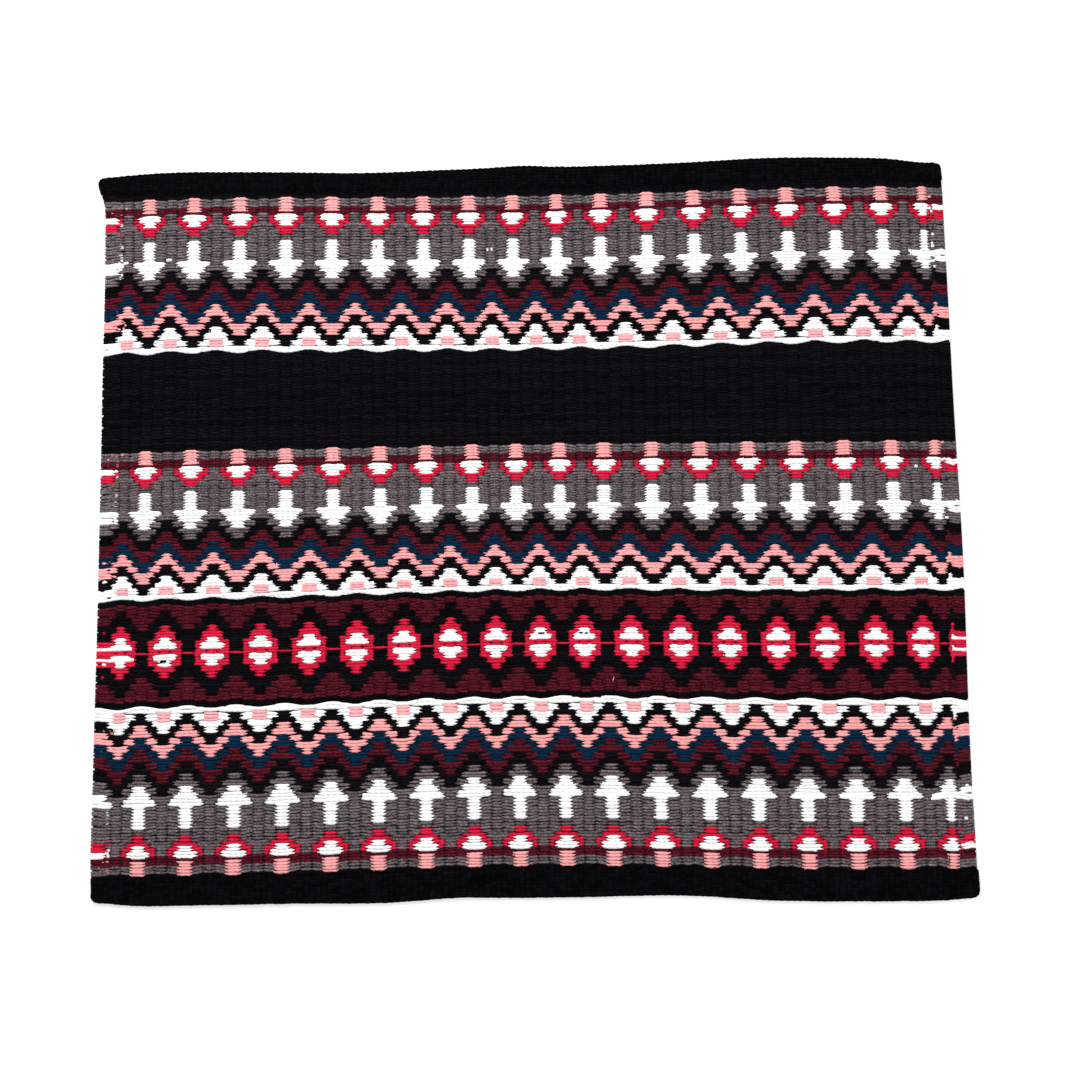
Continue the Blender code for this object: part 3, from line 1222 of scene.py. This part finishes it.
    def reach(self, group: list[tuple[Unit, Yarn]], beside: Yarn) -> float:
        """How much farther than other floats one of bright yarn reaches at each end.

        Args:
            group: The units that it crosses.
            beside: The yarn next to it.

        Returns:
            The distance in metres, below zero for a float that is drawn in.
        """
        middle = group[len(group) // 2][0].block
        yarn = group[0][1]
        if yarn not in BRIGHT:
            return 0.0
        if len(group) >= self.joined_blocks and (middle is Block.FIGURE or yarn is Yarn.CRIMSON):
            return -self.drawn_in
        if len(group) == 1 and middle is Block.FIELD and yarn is not Yarn.WHITE:
            return -self.drawn_in
        if len(group) == 1 and yarn is Yarn.SALMON and beside in (Yarn.CHARCOAL, Yarn.MAROON):
            return self.spread
        return 0.0

    def parted(self, group: list[tuple[Unit, Yarn]]) -> list[Run]:
        """Part a wide stretch of one yarn into floats: arm and flank go together, the rest lie alone.

        Args:
            group: Neighbouring units of one yarn.

        Returns:
            The runs of the face.
        """
        runs: list[Run] = []
        alone: Block | None = None
        for unit, yarn in group:
            if {unit.block, alone} == {Block.ARM, Block.FLANK}:
                first = runs.pop()
                runs.append(Run(yarn, first.left, unit.right, Side.FACE, blocks=2, snug=first.snug))
                alone = None
            else:
                snug = yarn is Yarn.WHITE
                thin = yarn is Yarn.CRIMSON and unit.block is Block.FIGURE
                runs.append(Run(yarn, unit.left, unit.right, Side.FACE, snug=snug, thin=thin))
                alone = unit.block
        return runs

    def behind(self, row: list[tuple[Unit, Yarn]]) -> list[Run]:
        """The long floats on the back: the field's yarn lies behind the figures, and the other way round.

        Args:
            row: Each unit with the yarn that shows on the face.

        Returns:
            The runs of the back.
        """
        shown = {unit.block: yarn for unit, yarn in row}
        yarns = (shown[Block.FIELD], shown[Block.FIGURE])
        if yarns[0] is yarns[1]:
            yarns = (shown[Block.ARM], shown[Block.FLANK])
        half = self.loom.repeat / 4
        limit = self.loom.half_width - self.back_inset
        middle = self.loom.first_figure - self.loom.repeat
        runs: list[Run] = []
        number = 0
        while middle - half < limit:
            left = max(middle - half, -limit)
            right = min(middle + half, limit)
            if right - left > self.back_shortest:
                runs.append(Run(yarns[number % 2], left, right, Side.BACK, blocks=3))
            middle += 2 * half
            number += 1
        return runs

    def end(self, run: Run) -> End:
        """The shape of a run's ends.

        Args:
            run: The run.

        Returns:
            Its two ends, which are alike.
        """
        lone = run.blocks == 1 and run.right - run.left >= self.narrow
        made = self.lone_end if lone else self.pair_end
        if run.side is Side.BACK:
            made = replace(made, overlap=self.back_overlap, dip=0.0)
        if run.snug:
            made = replace(made, overlap=self.snug_overlap, swell=self.snug_swell)
        if run.yarn is Yarn.PINK:
            made = replace(made, swell=self.blunt_swell)
        if run.reach > 0:
            made = replace(made, swell=self.round_swell)
        return made

    def follow(self, run: Run) -> Pair:
        """How much of the rows' stagger and of their bulge a run follows along its length.

        Args:
            run: The run.

        Returns:
            The share of the stagger and the share of the bulge.
        """
        if run.snug:
            return (1.0, 1.0)
        if run.right - run.left > self.wide:
            return (self.wide_lean, self.wide_sway)
        return (self.lone_lean, self.lone_sway)

    def stations(self, run: Run, left: float, right: float, shoulder: float) -> list[float]:
        """Set out the points of a run across the cloth: its tips, its shoulders and some between.

        Args:
            run: The run.
            left: Its left tip.
            right: Its right tip.
            shoulder: How far from a tip it is up on the face.

        Returns:
            The places.
        """
        spacing = self.back_spacing if run.side is Side.BACK else self.face_spacing
        top = right - left - 2 * shoulder
        count = max(1, round(top / spacing))
        inner = [left + shoulder + top * i / count for i in range(count + 1)]
        if run.side is Side.BACK:
            return [left, *inner, right]
        rise = self.rise_share * shoulder
        return [left, left + rise, *inner, right - rise, right]

    def draw(self, run: Run, level: float, pitch: float, shade: float, strands: Strands) -> None:
        """Draw the line of one run, from dipped tip to dipped tip.

        Args:
            run: The run.
            level: Height of its row on the cloth.
            pitch: Distance between rows.
            shade: How light the run is.
            strands: Where the line goes.
        """
        uneven = self.chance.uniform
        end = self.end(run)
        narrow = run.right - run.left < self.narrow
        left = run.left - end.overlap * uneven(*self.overlap_range) - run.reach
        right = run.right + end.overlap * uneven(*self.overlap_range) + run.reach
        shoulder = min(end.shoulder, self.shoulder_share * (right - left))
        if narrow:
            shoulder = uneven(*self.narrow_shoulders) * (right - left)
        slope = uneven(*(self.short_slopes if narrow or run.blocks == 2 else self.long_slopes))
        slope *= self.snug_slope_share if run.snug else 1
        level_off = uneven(-pitch, pitch) * (self.snug_wander_share if run.snug else self.wander_share)
        tall = uneven(*self.thicknesses) * (self.thin_share if run.thin else 1)
        crest = self.face_height if run.side is Side.FACE else self.back_height
        crest += uneven(-self.lift, self.lift)
        centre = (run.left + run.right) / 2
        half = (right - left) / 2
        base = self.stagger(centre, level)
        pushed = self.bulge(centre, level)
        lean, sway = self.follow(run)
        arch = 0.0 if run.snug else self.droop * half * float(np.interp(level, self.heights, self.staggers))
        steps = 1 if run.side is Side.BACK else 2
        stations = self.stations(run, left, right, shoulder)
        path = []
        swell = []
        for number, x in enumerate(stations):
            sunk = max(0, steps - min(number, len(stations) - 1 - number)) / steps
            off = (x - centre) / half
            y = level + level_off + base + (self.stagger(x, level) - base) * lean
            y += pushed + (self.bulge(x, level) - pushed) * sway
            y += slope * (x - centre) - arch * (off * off - self.droop_level)
            path.append((x, y, crest - run.side.value * end.dip * sunk**2))
            fade = sunk**self.bright_fade if run.yarn in BRIGHT and not run.snug else sunk
            swell.append(tall + (end.swell - tall) * fade)
        self.turn_edges(run, path, swell)
        if run.side is Side.BACK:
            path.reverse()
            swell.reverse()
        strands.add(path, swell, shade)

    def turn_edges(self, run: Run, path: list[Point], swell: list[float]) -> None:
        """Carry the end of an outermost run round the selvage to the back.

        Args:
            run: The run.
            path: Its points, changed in place.
            swell: Its thickness at each point, changed in place.
        """
        if run.side is Side.BACK:
            return
        edge = self.loom.half_width - MM
        if run.left < -edge:
            y = path[0][1]
            path[: self.turned_points] = [(-x, y, z) for x, z in self.turn()]
            swell[: self.turned_points] = self.turn_swells
        if run.right > edge:
            y = path[-1][1]
            path[-self.turned_points :] = [(x, y, z) for x, z in reversed(self.turn())]
            swell[-self.turned_points :] = self.turn_swells[::-1]

    def turn(self) -> list[Pair]:
        """The way of the yarn round the selvage cord.

        Returns:
            Pairs of distance from the middle line and height, from the back to the face.
        """
        made = [(self.cord.x - self.turn_start[0], self.cord.z - self.turn_start[1])]
        for degrees in self.turn_angles:
            angle = math.radians(degrees)
            x = self.cord.x + self.turn_radius * math.cos(angle)
            made.append((x, self.cord.z + self.turn_radius * math.sin(angle)))
        made.append((self.cord.x - self.turn_reach, self.face_height))
        return made

    def weave(self, band: Band) -> dict[Yarn, Strands]:
        """Draw every run of a band.

        Args:
            band: The band.

        Returns:
            The lines of each yarn.
        """
        lines: dict[Yarn, Strands] = {}
        for row in range(band.count()):
            shown = band.shown(self.units, row)
            tone = self.chance.random()
            for run in self.joined(shown) + self.behind(shown):
                shade = self.row_tone_share * tone + self.run_tone_share * self.chance.random()
                strands = lines.setdefault(run.yarn, Strands())
                self.draw(run, band.row_height(row), band.pitch, shade, strands)
            self.catch_yarns(band, row, lines)
            self.lay_flecks(band, row, lines)
        self.lay_snags(band, lines)
        return lines

    def lay_snags(self, band: Band, lines: dict[Yarn, Strands]) -> None:
        """Draw the stray bits of yarn that lie within a band.

        Args:
            band: The band.
            lines: Where they go, by yarn.
        """
        bottom = band.top - band.count() * band.pitch
        for snag in self.snags:
            if bottom < snag.at[1] * MM < band.top:
                snag.lay(self.face_height + self.snag_lift, lines.setdefault(snag.yarn, Strands()))

    def catch_yarns(self, band: Band, row: int, lines: dict[Yarn, Strands]) -> None:
        """Draw the small loops near the selvages where a bright carried yarn is caught down.

        Args:
            band: The band.
            row: The row.
            lines: Where the loops go, by yarn.
        """
        carried = band.rows[Block.FIGURE][row]
        if carried not in BRIGHT:
            return
        for unit in (self.units[1], self.units[-2]):
            if self.chance.random() > (self.catches_left if unit.left < 0 else self.catches_right):
                continue
            wander = self.chance.uniform(-self.catch_wander, self.catch_wander)
            half = self.chance.uniform(*self.catch_halves)
            middle = (unit.left + unit.right) / 2 + wander
            strands = lines.setdefault(carried, Strands())
            self.lay_loop(strands, middle, band.row_height(row), half, self.chance)

    def lay_flecks(self, band: Band, row: int, lines: dict[Yarn, Strands]) -> None:
        """Draw the salmon flecks by the left selvage, where the carried yarn comes through.

        Args:
            band: The band.
            row: The row.
            lines: Where the flecks go, by yarn.
        """
        if all(band.rows[block][row] is not Yarn.SALMON for block in Block):
            return
        for inset in self.fleck_insets:
            if self.stray.random() > self.fleck_chance:
                continue
            wander = self.stray.uniform(-self.fleck_wander, self.fleck_wander)
            half = self.stray.uniform(*self.fleck_halves)
            middle = inset - self.loom.half_width + wander
            strands = lines.setdefault(Yarn.SALMON, Strands())
            self.lay_loop(strands, middle, band.row_height(row), half, self.stray)

    def lay_loop(
        self, strands: Strands, middle: float, level: float, half: float, chance: random.Random
    ) -> None:
        """Draw one short loop of yarn over the face.

        Args:
            strands: Where it goes.
            middle: Its place across the cloth.
            level: The height of its row.
            half: Half its length.
            chance: The source of its unevenness.
        """
        level += self.stagger(middle, level) + self.bulge(middle, level)
        slant = chance.uniform(-self.loop_slant, self.loop_slant)
        top = self.face_height + self.loop_lift
        tip = half + self.loop_tail
        path = [
            (middle - tip, level - slant, top - self.loop_dip),
            (middle - half / 2, level - slant / 2, top),
            (middle + half / 2, level + slant / 2, top),
            (middle + tip, level + slant, top - self.loop_dip),
        ]
        strands.add(path, list(self.loop_swells), chance.random())


@dataclass
class Weft:
    """The weft of the whole cloth, one piece for each yarn of each band."""

    weaver: Weaver
    tree: YarnTree
    lay: Lay
    materials: dict[Yarn, Material]
    half_width: float = 1.72 * MM
    half_depth: float = 1.55 * MM
    front_rows: int = 3
    saddle_rows: int = 33
    rear_rows: int = 1

    def bands(self) -> list[Band]:
        """List the woven parts from the front hem to the rear one.

        Returns:
            The bands.
        """
        return [
            self.black("header_front", "header_rows_front", self.front_rows),
            self.figured("front", False),
            self.black("saddle", "saddle_band", self.saddle_rows),
            self.figured("middle", False),
            Band(
                "ovals", "black_line_front", "black_line_rear", OVALS,
                {Yarn.BLACK: ("black_line_front", "black_line_rear"), Yarn.MAROON: ("oval_band",)},
                selvage=OVAL_EDGE,
            ),
            self.figured("rear", True),
            self.black("header_rear", "header_rows_rear", self.rear_rows),
        ]

    def black(self, name: str, node: str, rows: int) -> Band:
        """A band of plain black rows."""
        return Band(name, node, node, plain(rows), {Yarn.BLACK: (node,)})

    def figured(self, place: str, mirrored: bool) -> Band:
        """A figured part, from its salmon stripe to its white line.

        Args:
            place: Which of the three it is.
            mirrored: True where the stripe is at the rear.

        Returns:
            The band.
        """
        outer = f"salmon_stripe_{place}"
        inner = f"white_line_{place}"
        top, bottom = (inner, outer) if mirrored else (outer, inner)
        replaced = {
            Yarn.SALMON: (outer,),
            Yarn.CRIMSON: (f"cup_band_{place}",),
            Yarn.CHARCOAL: (f"cross_field_{place}",),
            Yarn.NAVY: (f"flame_band_{place}",),
            Yarn.WHITE: (inner,),
        }
        drafts = {**FIGURES, Block.FIELD: FRONT_FIELD} if place == "front" else FIGURES
        return Band(place, top, bottom, drafts, replaced, mirrored)

    def make(self) -> list[Object]:
        """Weave every band and finish its pieces.

        Returns:
            The pieces.
        """
        made = []
        for band in self.bands():
            for yarn, strands in self.weaver.weave(band).items():
                cut = Section.half_round(self.half_width * FINISHES[yarn].fullness, self.half_depth)
                name = f"{yarn.value}_weft_{band.name}"
                piece = self.tree.spin(name, strands, self.lay, cut, self.materials[yarn])
                dress(piece, band.replaced.get(yarn, ()))
                made.append(piece)
        return made


def dress(piece: Object, nodes: tuple[str, ...]) -> None:
    """Bake a piece's place into its mesh, hide the nodes that it stands for, and log it.

    Args:
        piece: The piece.
        nodes: Names of the nodes, without their half.
    """
    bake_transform(piece)
    for node in nodes:
        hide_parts(*sides(node))
    report(piece)


def report(piece: Object) -> None:
    """Say what was made."""
    log.info("%s: %d faces", piece.name, len(piece.data.polygons))


@dataclass
class Hems:
    """The turned hems: short black floats wound round each rib of the doubled edge."""

    tree: YarnTree
    lay: Lay
    material: Material
    rib: float = 6.85 * MM
    row: float = 3.4 * MM
    half_yarn: float = 1.75 * MM
    row_overlap: float = 1.45
    overlap: float = 0.6 * MM
    overlap_range: Pair = (0.7, 1.2)
    wander: float = 0.2 * MM
    lift: float = 0.12 * MM
    tip_dip: float = 1.3 * MM
    shoulder_share: float = 0.2
    swells: tuple[float, ...] = (0.85, 1.0, 1.0, 0.85)
    corner: float = 10 * MM
    corner_share: float = 0.95
    end_inset: float = 0.6 * MM
    inner_step: float = 2 * MM
    inner_dip: float = 0.9 * MM
    kept_share: float = 0.6
    least_rows: int = 6
    top: float = 8.35 * MM
    seed: int = 23

    def make(self) -> list[Object]:
        """Build both hems.

        Returns:
            The front hem and the rear hem.
        """
        return [self.hem("front_hem", 1), self.hem("rear_hem", -1)]

    def outline(self, depth: float) -> list[Pair]:
        """The path round the hem's section, from its inner lower edge to its inner upper one.

        Args:
            depth: The hem's depth along the warp.

        Returns:
            Pairs of distance from the inner edge and height, one row apart.
        """
        low = self.half_yarn
        high = self.top - self.half_yarn
        middle = (low + high) / 2
        radius = (high - low) / 2
        start = self.half_yarn + self.inner_step
        straight = depth - start - self.half_yarn - radius
        turn = math.pi * radius
        around = 2 * straight + turn
        count = max(self.least_rows, round(around / self.row))
        made = []
        for number in range(count + 1):
            walked = around * number / count
            if walked < straight:
                made.append((start + walked, low))
            elif walked < straight + turn:
                angle = (walked - straight) / radius
                made.append((start + straight + radius * math.sin(angle), middle - radius * math.cos(angle)))
            else:
                made.append((start + around - walked, high))
        made.append((self.half_yarn * self.kept_share, high - self.inner_dip))
        return made

    def hem(self, name: str, way: int) -> Object:
        """Build one hem.

        Args:
            name: front_hem or rear_hem.
            way: 1 for the front, -1 for the rear.

        Returns:
            The piece.
        """
        chance = random.Random(self.seed + way)
        low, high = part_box(f"{name}_left")
        inner, outer = (low.y, high.y) if way > 0 else (high.y, low.y)
        depth = abs(outer - inner)
        reach = -low.x
        ribs = round(2 * (reach - self.half_yarn) / self.rib)
        wide = 2 * (reach - self.end_inset) / ribs
        strands = Strands()
        for number in range(ribs):
            middle = -reach + self.end_inset + (number + 0.5) * wide
            for off, height in self.outline(depth):
                wander = chance.uniform(-self.wander, self.wander)
                half = wide / 2 + self.overlap * chance.uniform(*self.overlap_range)
                level = height + chance.uniform(-self.lift, self.lift)
                inside = level - math.copysign(self.tip_dip, level - self.top / 2)
                near = wide * self.shoulder_share
                path = []
                for x, z in ((-half, inside), (-near, level), (near, level), (half, inside)):
                    x += middle
                    rounded = off * (1 - self.cut_back(x, reach) / depth)
                    path.append((self.kept(x, reach), inner + way * (rounded + wander), z))
                strands.add(path, list(self.swells), chance.random())
        cut = Section.whole(self.half_yarn * self.row_overlap, self.half_yarn)
        piece = self.tree.spin(name, strands, self.lay, cut, self.material)
        dress(piece, (name,))
        return piece

    def cut_back(self, x: float, reach: float) -> float:
        """How far the hem's rounded corner stands back at one place.

        Args:
            x: Place across the cloth.
            reach: Half the hem's length.

        Returns:
            The distance in metres.
        """
        beyond = min(max(0.0, abs(x) - (reach - self.corner)), self.corner * self.corner_share)
        return self.corner - math.sqrt(self.corner**2 - beyond**2)

    def kept(self, x: float, reach: float) -> float:
        """Keep a place inside the hem's ends."""
        limit = reach - self.half_yarn * self.kept_share
        return max(-limit, min(limit, x))


@dataclass
class Ground:
    """The warp, a sheet of close ends in the middle of the cloth, hidden by the weft; the sheet is real, and
    its dark colour is painted shade for the gaps between rows.
    """

    lay: Lay
    material: Material
    low: float = 2.3 * MM
    high: float = 3.7 * MM
    half_width: float = 503.6 * MM
    hem_inset: float = 3.5 * MM
    columns: int = 110
    rows: int = 90

    def make(self) -> Object:
        """Build the sheet as a closed slab.

        Returns:
            The piece.
        """
        half_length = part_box("front_hem_right")[1].y - self.hem_inset
        points = []
        for z in (self.low, self.high):
            for row in range(self.rows + 1):
                y = -half_length + 2 * half_length * row / self.rows
                for column in range(self.columns + 1):
                    x = -self.half_width + 2 * self.half_width * column / self.columns
                    points.append((x, y, z))
        wide = self.columns + 1
        layer = wide * (self.rows + 1)
        faces = []
        for row in range(self.rows):
            for column in range(self.columns):
                corner = row * wide + column
                under = (corner, corner + wide, corner + wide + 1, corner + 1)
                faces.append(under)
                faces.append(tuple(layer + index for index in reversed(under)))
        rim = list(range(wide))
        rim += [row * wide + self.columns for row in range(1, self.rows + 1)]
        rim += [self.rows * wide + column for column in range(self.columns - 1, -1, -1)]
        rim += [row * wide for row in range(self.rows - 1, 0, -1)]
        for number, corner in enumerate(rim):
            following = rim[(number + 1) % len(rim)]
            faces.append((corner, following, layer + following, layer + corner))
        mesh = bpy.data.meshes.new("warp_ground")
        mesh.from_pydata(self.lay.place(np.array(points)).tolist(), [], faces)
        mesh.materials.append(self.material)
        piece = add_object("warp_ground", mesh)
        dress(piece, ("warp_ends",))
        return piece


@dataclass(frozen=True)
class WarpCottonPaintedShade:
    """Dull cotton, seen only between rows, dark as painted shade in the gaps between them."""

    # painted shade: these dark colours stand in for the shade in the gaps between rows
    colour: Colour = (26, 24, 26)
    dark: Colour = (18, 16, 18)
    rib_scale: float = 46.0
    lint_scale: float = 900.0
    lint_detail: float = 3.0
    relief: float = 0.4 * MM
    relief_strength: float = 0.6
    roughness: float = 0.95
    gloss: float = 0.1

    def material(self) -> Material:
        """Build the shader.

        Returns:
            The material, ribbed along the warp on Object coordinates.
        """
        made, bench = start_material("warp_cotton")
        place = bench.add("ShaderNodeTexCoord").outputs["Object"]
        bands = {"wave_type": "BANDS", "bands_direction": "X"}
        ends = bench.add("ShaderNodeTexWave", bands, Vector=place, Scale=self.rib_scale).outputs["Fac"]
        lint = bench.add("ShaderNodeTexNoise", Vector=place, Scale=self.lint_scale, Detail=self.lint_detail)
        tone = bench.mix(lint.outputs[0], linear(self.dark), linear(self.colour))
        bump = bench.add("ShaderNodeBump", Height=ends, Strength=self.relief_strength, Distance=self.relief)
        cloth = bench.add("ShaderNodeBsdfPrincipled", Base_Color=tone, Normal=bump.outputs[0])
        cloth.inputs["Roughness"].default_value = self.roughness
        cloth.inputs["Specular IOR Level"].default_value = self.gloss
        bench.add("ShaderNodeOutputMaterial", Surface=cloth.outputs[0])
        return made


@dataclass
class Edges:
    """The selvage cords and the stitching that holds the hems."""

    tree: YarnTree
    lay: Lay
    material: Material
    cord: Cord
    stitch: float = 9 * MM
    stitch_gap: float = 4 * MM
    stitch_bend: float = 1.2 * MM
    stitch_slants: tuple[float, ...] = (-1 * MM, 0, 0.5 * MM, 1 * MM, 1.5 * MM)
    stitch_heights: tuple[float, ...] = (6.2 * MM, 8 * MM, 8.3 * MM, 8 * MM, 6.2 * MM)
    stitch_swells: tuple[float, ...] = (0.8, 1.0, 1.0, 1.0, 0.8)
    thread_radius: float = 0.5 * MM

    def make(self) -> list[Object]:
        """Build the cords and stitches.

        Returns:
            The pieces.
        """
        cords = [self.selvage_cord(body) for body in BODIES]
        return [*cords, self.stitches("front", 1), self.stitches("rear", -1)]

    def selvage_cord(self, body: str) -> Object:
        """Build the doubled cord of one selvage.

        Args:
            body: The half that it belongs to.

        Returns:
            The piece.
        """
        side = body.split("_")[0]
        low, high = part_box(f"selvage_cord_{side}")
        x = math.copysign(self.cord.x, low.x)
        strands = Strands()
        for turned in (0, math.pi):
            path = self.cord.ply(x, low.y, high.y, turned)
            strands.add(path, [1.0] * len(path), MIDDLE_SHADE)
        cut = Section.whole(self.cord.radius, self.cord.radius)
        piece = self.tree.spin(f"selvage_cord_yarn_{side}", strands, self.lay, cut, self.material)
        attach(piece, body)
        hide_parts(f"selvage_cord_{side}")
        report(piece)
        return piece

    def stitches(self, place: str, way: int) -> Object:
        """Build the row of stitches along one hem.

        Args:
            place: front or rear.
            way: 1 for the front, -1 for the rear.

        Returns:
            The piece.
        """
        node = f"{place}_hem_stitches"
        low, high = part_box(f"{node}_left")
        y = (low.y + high.y) / 2
        ends = (0, self.stitch_bend, self.stitch / 2, self.stitch - self.stitch_bend, self.stitch)
        strands = Strands()
        start = low.x
        while start + self.stitch < -low.x:
            shape = zip(ends, self.stitch_slants, self.stitch_heights)
            path = [(start + along, y + way * slant, height) for along, slant, height in shape]
            strands.add(path, list(self.stitch_swells), MIDDLE_SHADE)
            start += self.stitch + self.stitch_gap
        cut = Section.whole(self.thread_radius, self.thread_radius)
        piece = self.tree.spin(f"{place}_hem_thread", strands, self.lay, cut, self.material)
        dress(piece, (node,))
        return piece


@dataclass(frozen=True)
class Lamp:
    """A square soft lamp that points at the middle of the cloth, in metres and watts."""

    name: str
    place: Point
    size: float
    power: float

    def hang(self) -> None:
        """Put the lamp into the scene."""
        data = bpy.data.lights.new(self.name, "AREA")
        data.size = self.size
        data.energy = self.power
        lamp = add_object(self.name, data)
        lamp.location = self.place
        lamp.rotation_euler = (-Vector(self.place)).to_track_quat("-Z", "Y").to_euler()


@dataclass
class Studio:
    """The camera at the photograph's angle, the pale floor and the soft lamps."""

    tilt: float = 0.168158
    turn: float = 0.0776359
    roll: float = 0.0923372
    distance: float = 2.34875
    lens: float = 66.667
    shift: Pair = (0.01357, -0.01737)
    sensor: float = 36.0
    farthest: float = 50.0
    floor_size: float = 8.0
    floor_tone: float = 0.9
    floor_glow: float = 0.25
    world_level: float = 0.58
    lamps: tuple[Lamp, ...] = (
        Lamp("key", (-0.7, 1.7, 1.9), 1.3, 54.0),
        Lamp("fill", (1.3, -1.2, 2.2), 2.2, 24.0),
    )

    def make(self) -> None:
        """Set everything up."""
        self.camera()
        for lamp in self.lamps:
            lamp.hang()
        self.world()

    def camera(self) -> None:
        """Place the camera."""
        data = bpy.data.cameras.new("camera")
        data.lens = self.lens
        data.sensor_width = self.sensor
        data.shift_x, data.shift_y = self.shift
        data.clip_end = self.farthest
        camera = add_object("camera", data)
        back = Vector((0, -math.sin(self.tilt), math.cos(self.tilt)))
        up = Vector((0, math.cos(self.tilt), math.sin(self.tilt)))
        right = Vector((1, 0, 0))
        image_right = math.cos(self.roll) * right - math.sin(self.roll) * up
        image_up = math.sin(self.roll) * right + math.cos(self.roll) * up
        frame_axes = Matrix((image_right, image_up, back)).transposed()
        turned = Matrix.Rotation(self.turn, 3, "Z") @ frame_axes
        place = Matrix.Rotation(self.turn, 3, "Z") @ (back * self.distance)
        camera.matrix_world = Matrix.Translation(place) @ turned.to_4x4()
        bpy.context.scene.camera = camera

    def world(self) -> None:
        """Light the scene evenly, with white where the camera or a glossy surface looks past the floor."""
        world = bpy.data.worlds.new("studio")
        bpy.context.scene.world = world
        world.use_nodes = True
        bench = Bench(world.node_tree)
        seen = self.seen(bench)
        strength = bench.math("MULTIPLY_ADD", seen, 1 - self.world_level, self.world_level)
        light = bench.add("ShaderNodeBackground", Color=(1, 1, 1, 1), Strength=strength)
        bench.add("ShaderNodeOutputWorld", Surface=light.outputs[0])

    def seen(self, bench: Bench) -> NodeSocket:
        """Tell the rays that see the background from those that light the cloth.

        Args:
            bench: The world's tree.

        Returns:
            The socket that is 1 for camera, glossy and transmission rays.
        """
        path = bench.add("ShaderNodeLightPath").outputs
        direct = bench.math("MAXIMUM", path["Is Camera Ray"], path["Is Glossy Ray"])
        return bench.math("MAXIMUM", direct, path["Is Transmission Ray"])

    def floor(self) -> Object:
        """Lay the pale floor.

        Returns:
            The floor.
        """
        half = self.floor_size / 2
        mesh = bpy.data.meshes.new("floor")
        corners = [(-half, -half, 0), (half, -half, 0), (half, half, 0), (-half, half, 0)]
        mesh.from_pydata(corners, [], [(0, 1, 2, 3)])
        made, bench = start_material("floor_white")
        paint = bench.add("ShaderNodeBsdfDiffuse", Color=(*[self.floor_tone] * 3, 1))
        seen = bench.add("ShaderNodeLightPath").outputs["Is Camera Ray"]
        strength = bench.math("MULTIPLY", seen, self.floor_glow)
        glow = bench.add("ShaderNodeEmission", Color=(1, 1, 1, 1), Strength=strength)
        both = bench.add("ShaderNodeAddShader")
        bench.put(both.inputs[0], paint.outputs[0])
        bench.put(both.inputs[1], glow.outputs[0])
        bench.add("ShaderNodeOutputMaterial", Surface=both.outputs[0])
        mesh.materials.append(made)
        floor = add_object("floor", mesh)
        return floor


def main() -> None:
    """Weave the blanket, finish its edges and light it."""
    logging.basicConfig(level=logging.INFO, format="%(name)s %(message)s")
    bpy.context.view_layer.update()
    bpy.context.scene.view_settings.view_transform = "Standard"
    studio = Studio()
    studio.make()
    floor = studio.floor()
    lay = Lay()
    tree = YarnTree()
    cord = Cord()
    materials = {yarn: finish.material(yarn.value) for yarn, finish in FINISHES.items()}
    pieces = Weft(Weaver(Loom(), cord), tree, lay, materials).make()
    pieces += Hems(tree, lay, materials[Yarn.BLACK]).make()
    pieces += Edges(tree, lay, materials[Yarn.BLACK], cord).make()
    ground = Ground(lay, WarpCottonPaintedShade().material()).make()


if __name__ == "__main__":
    main()
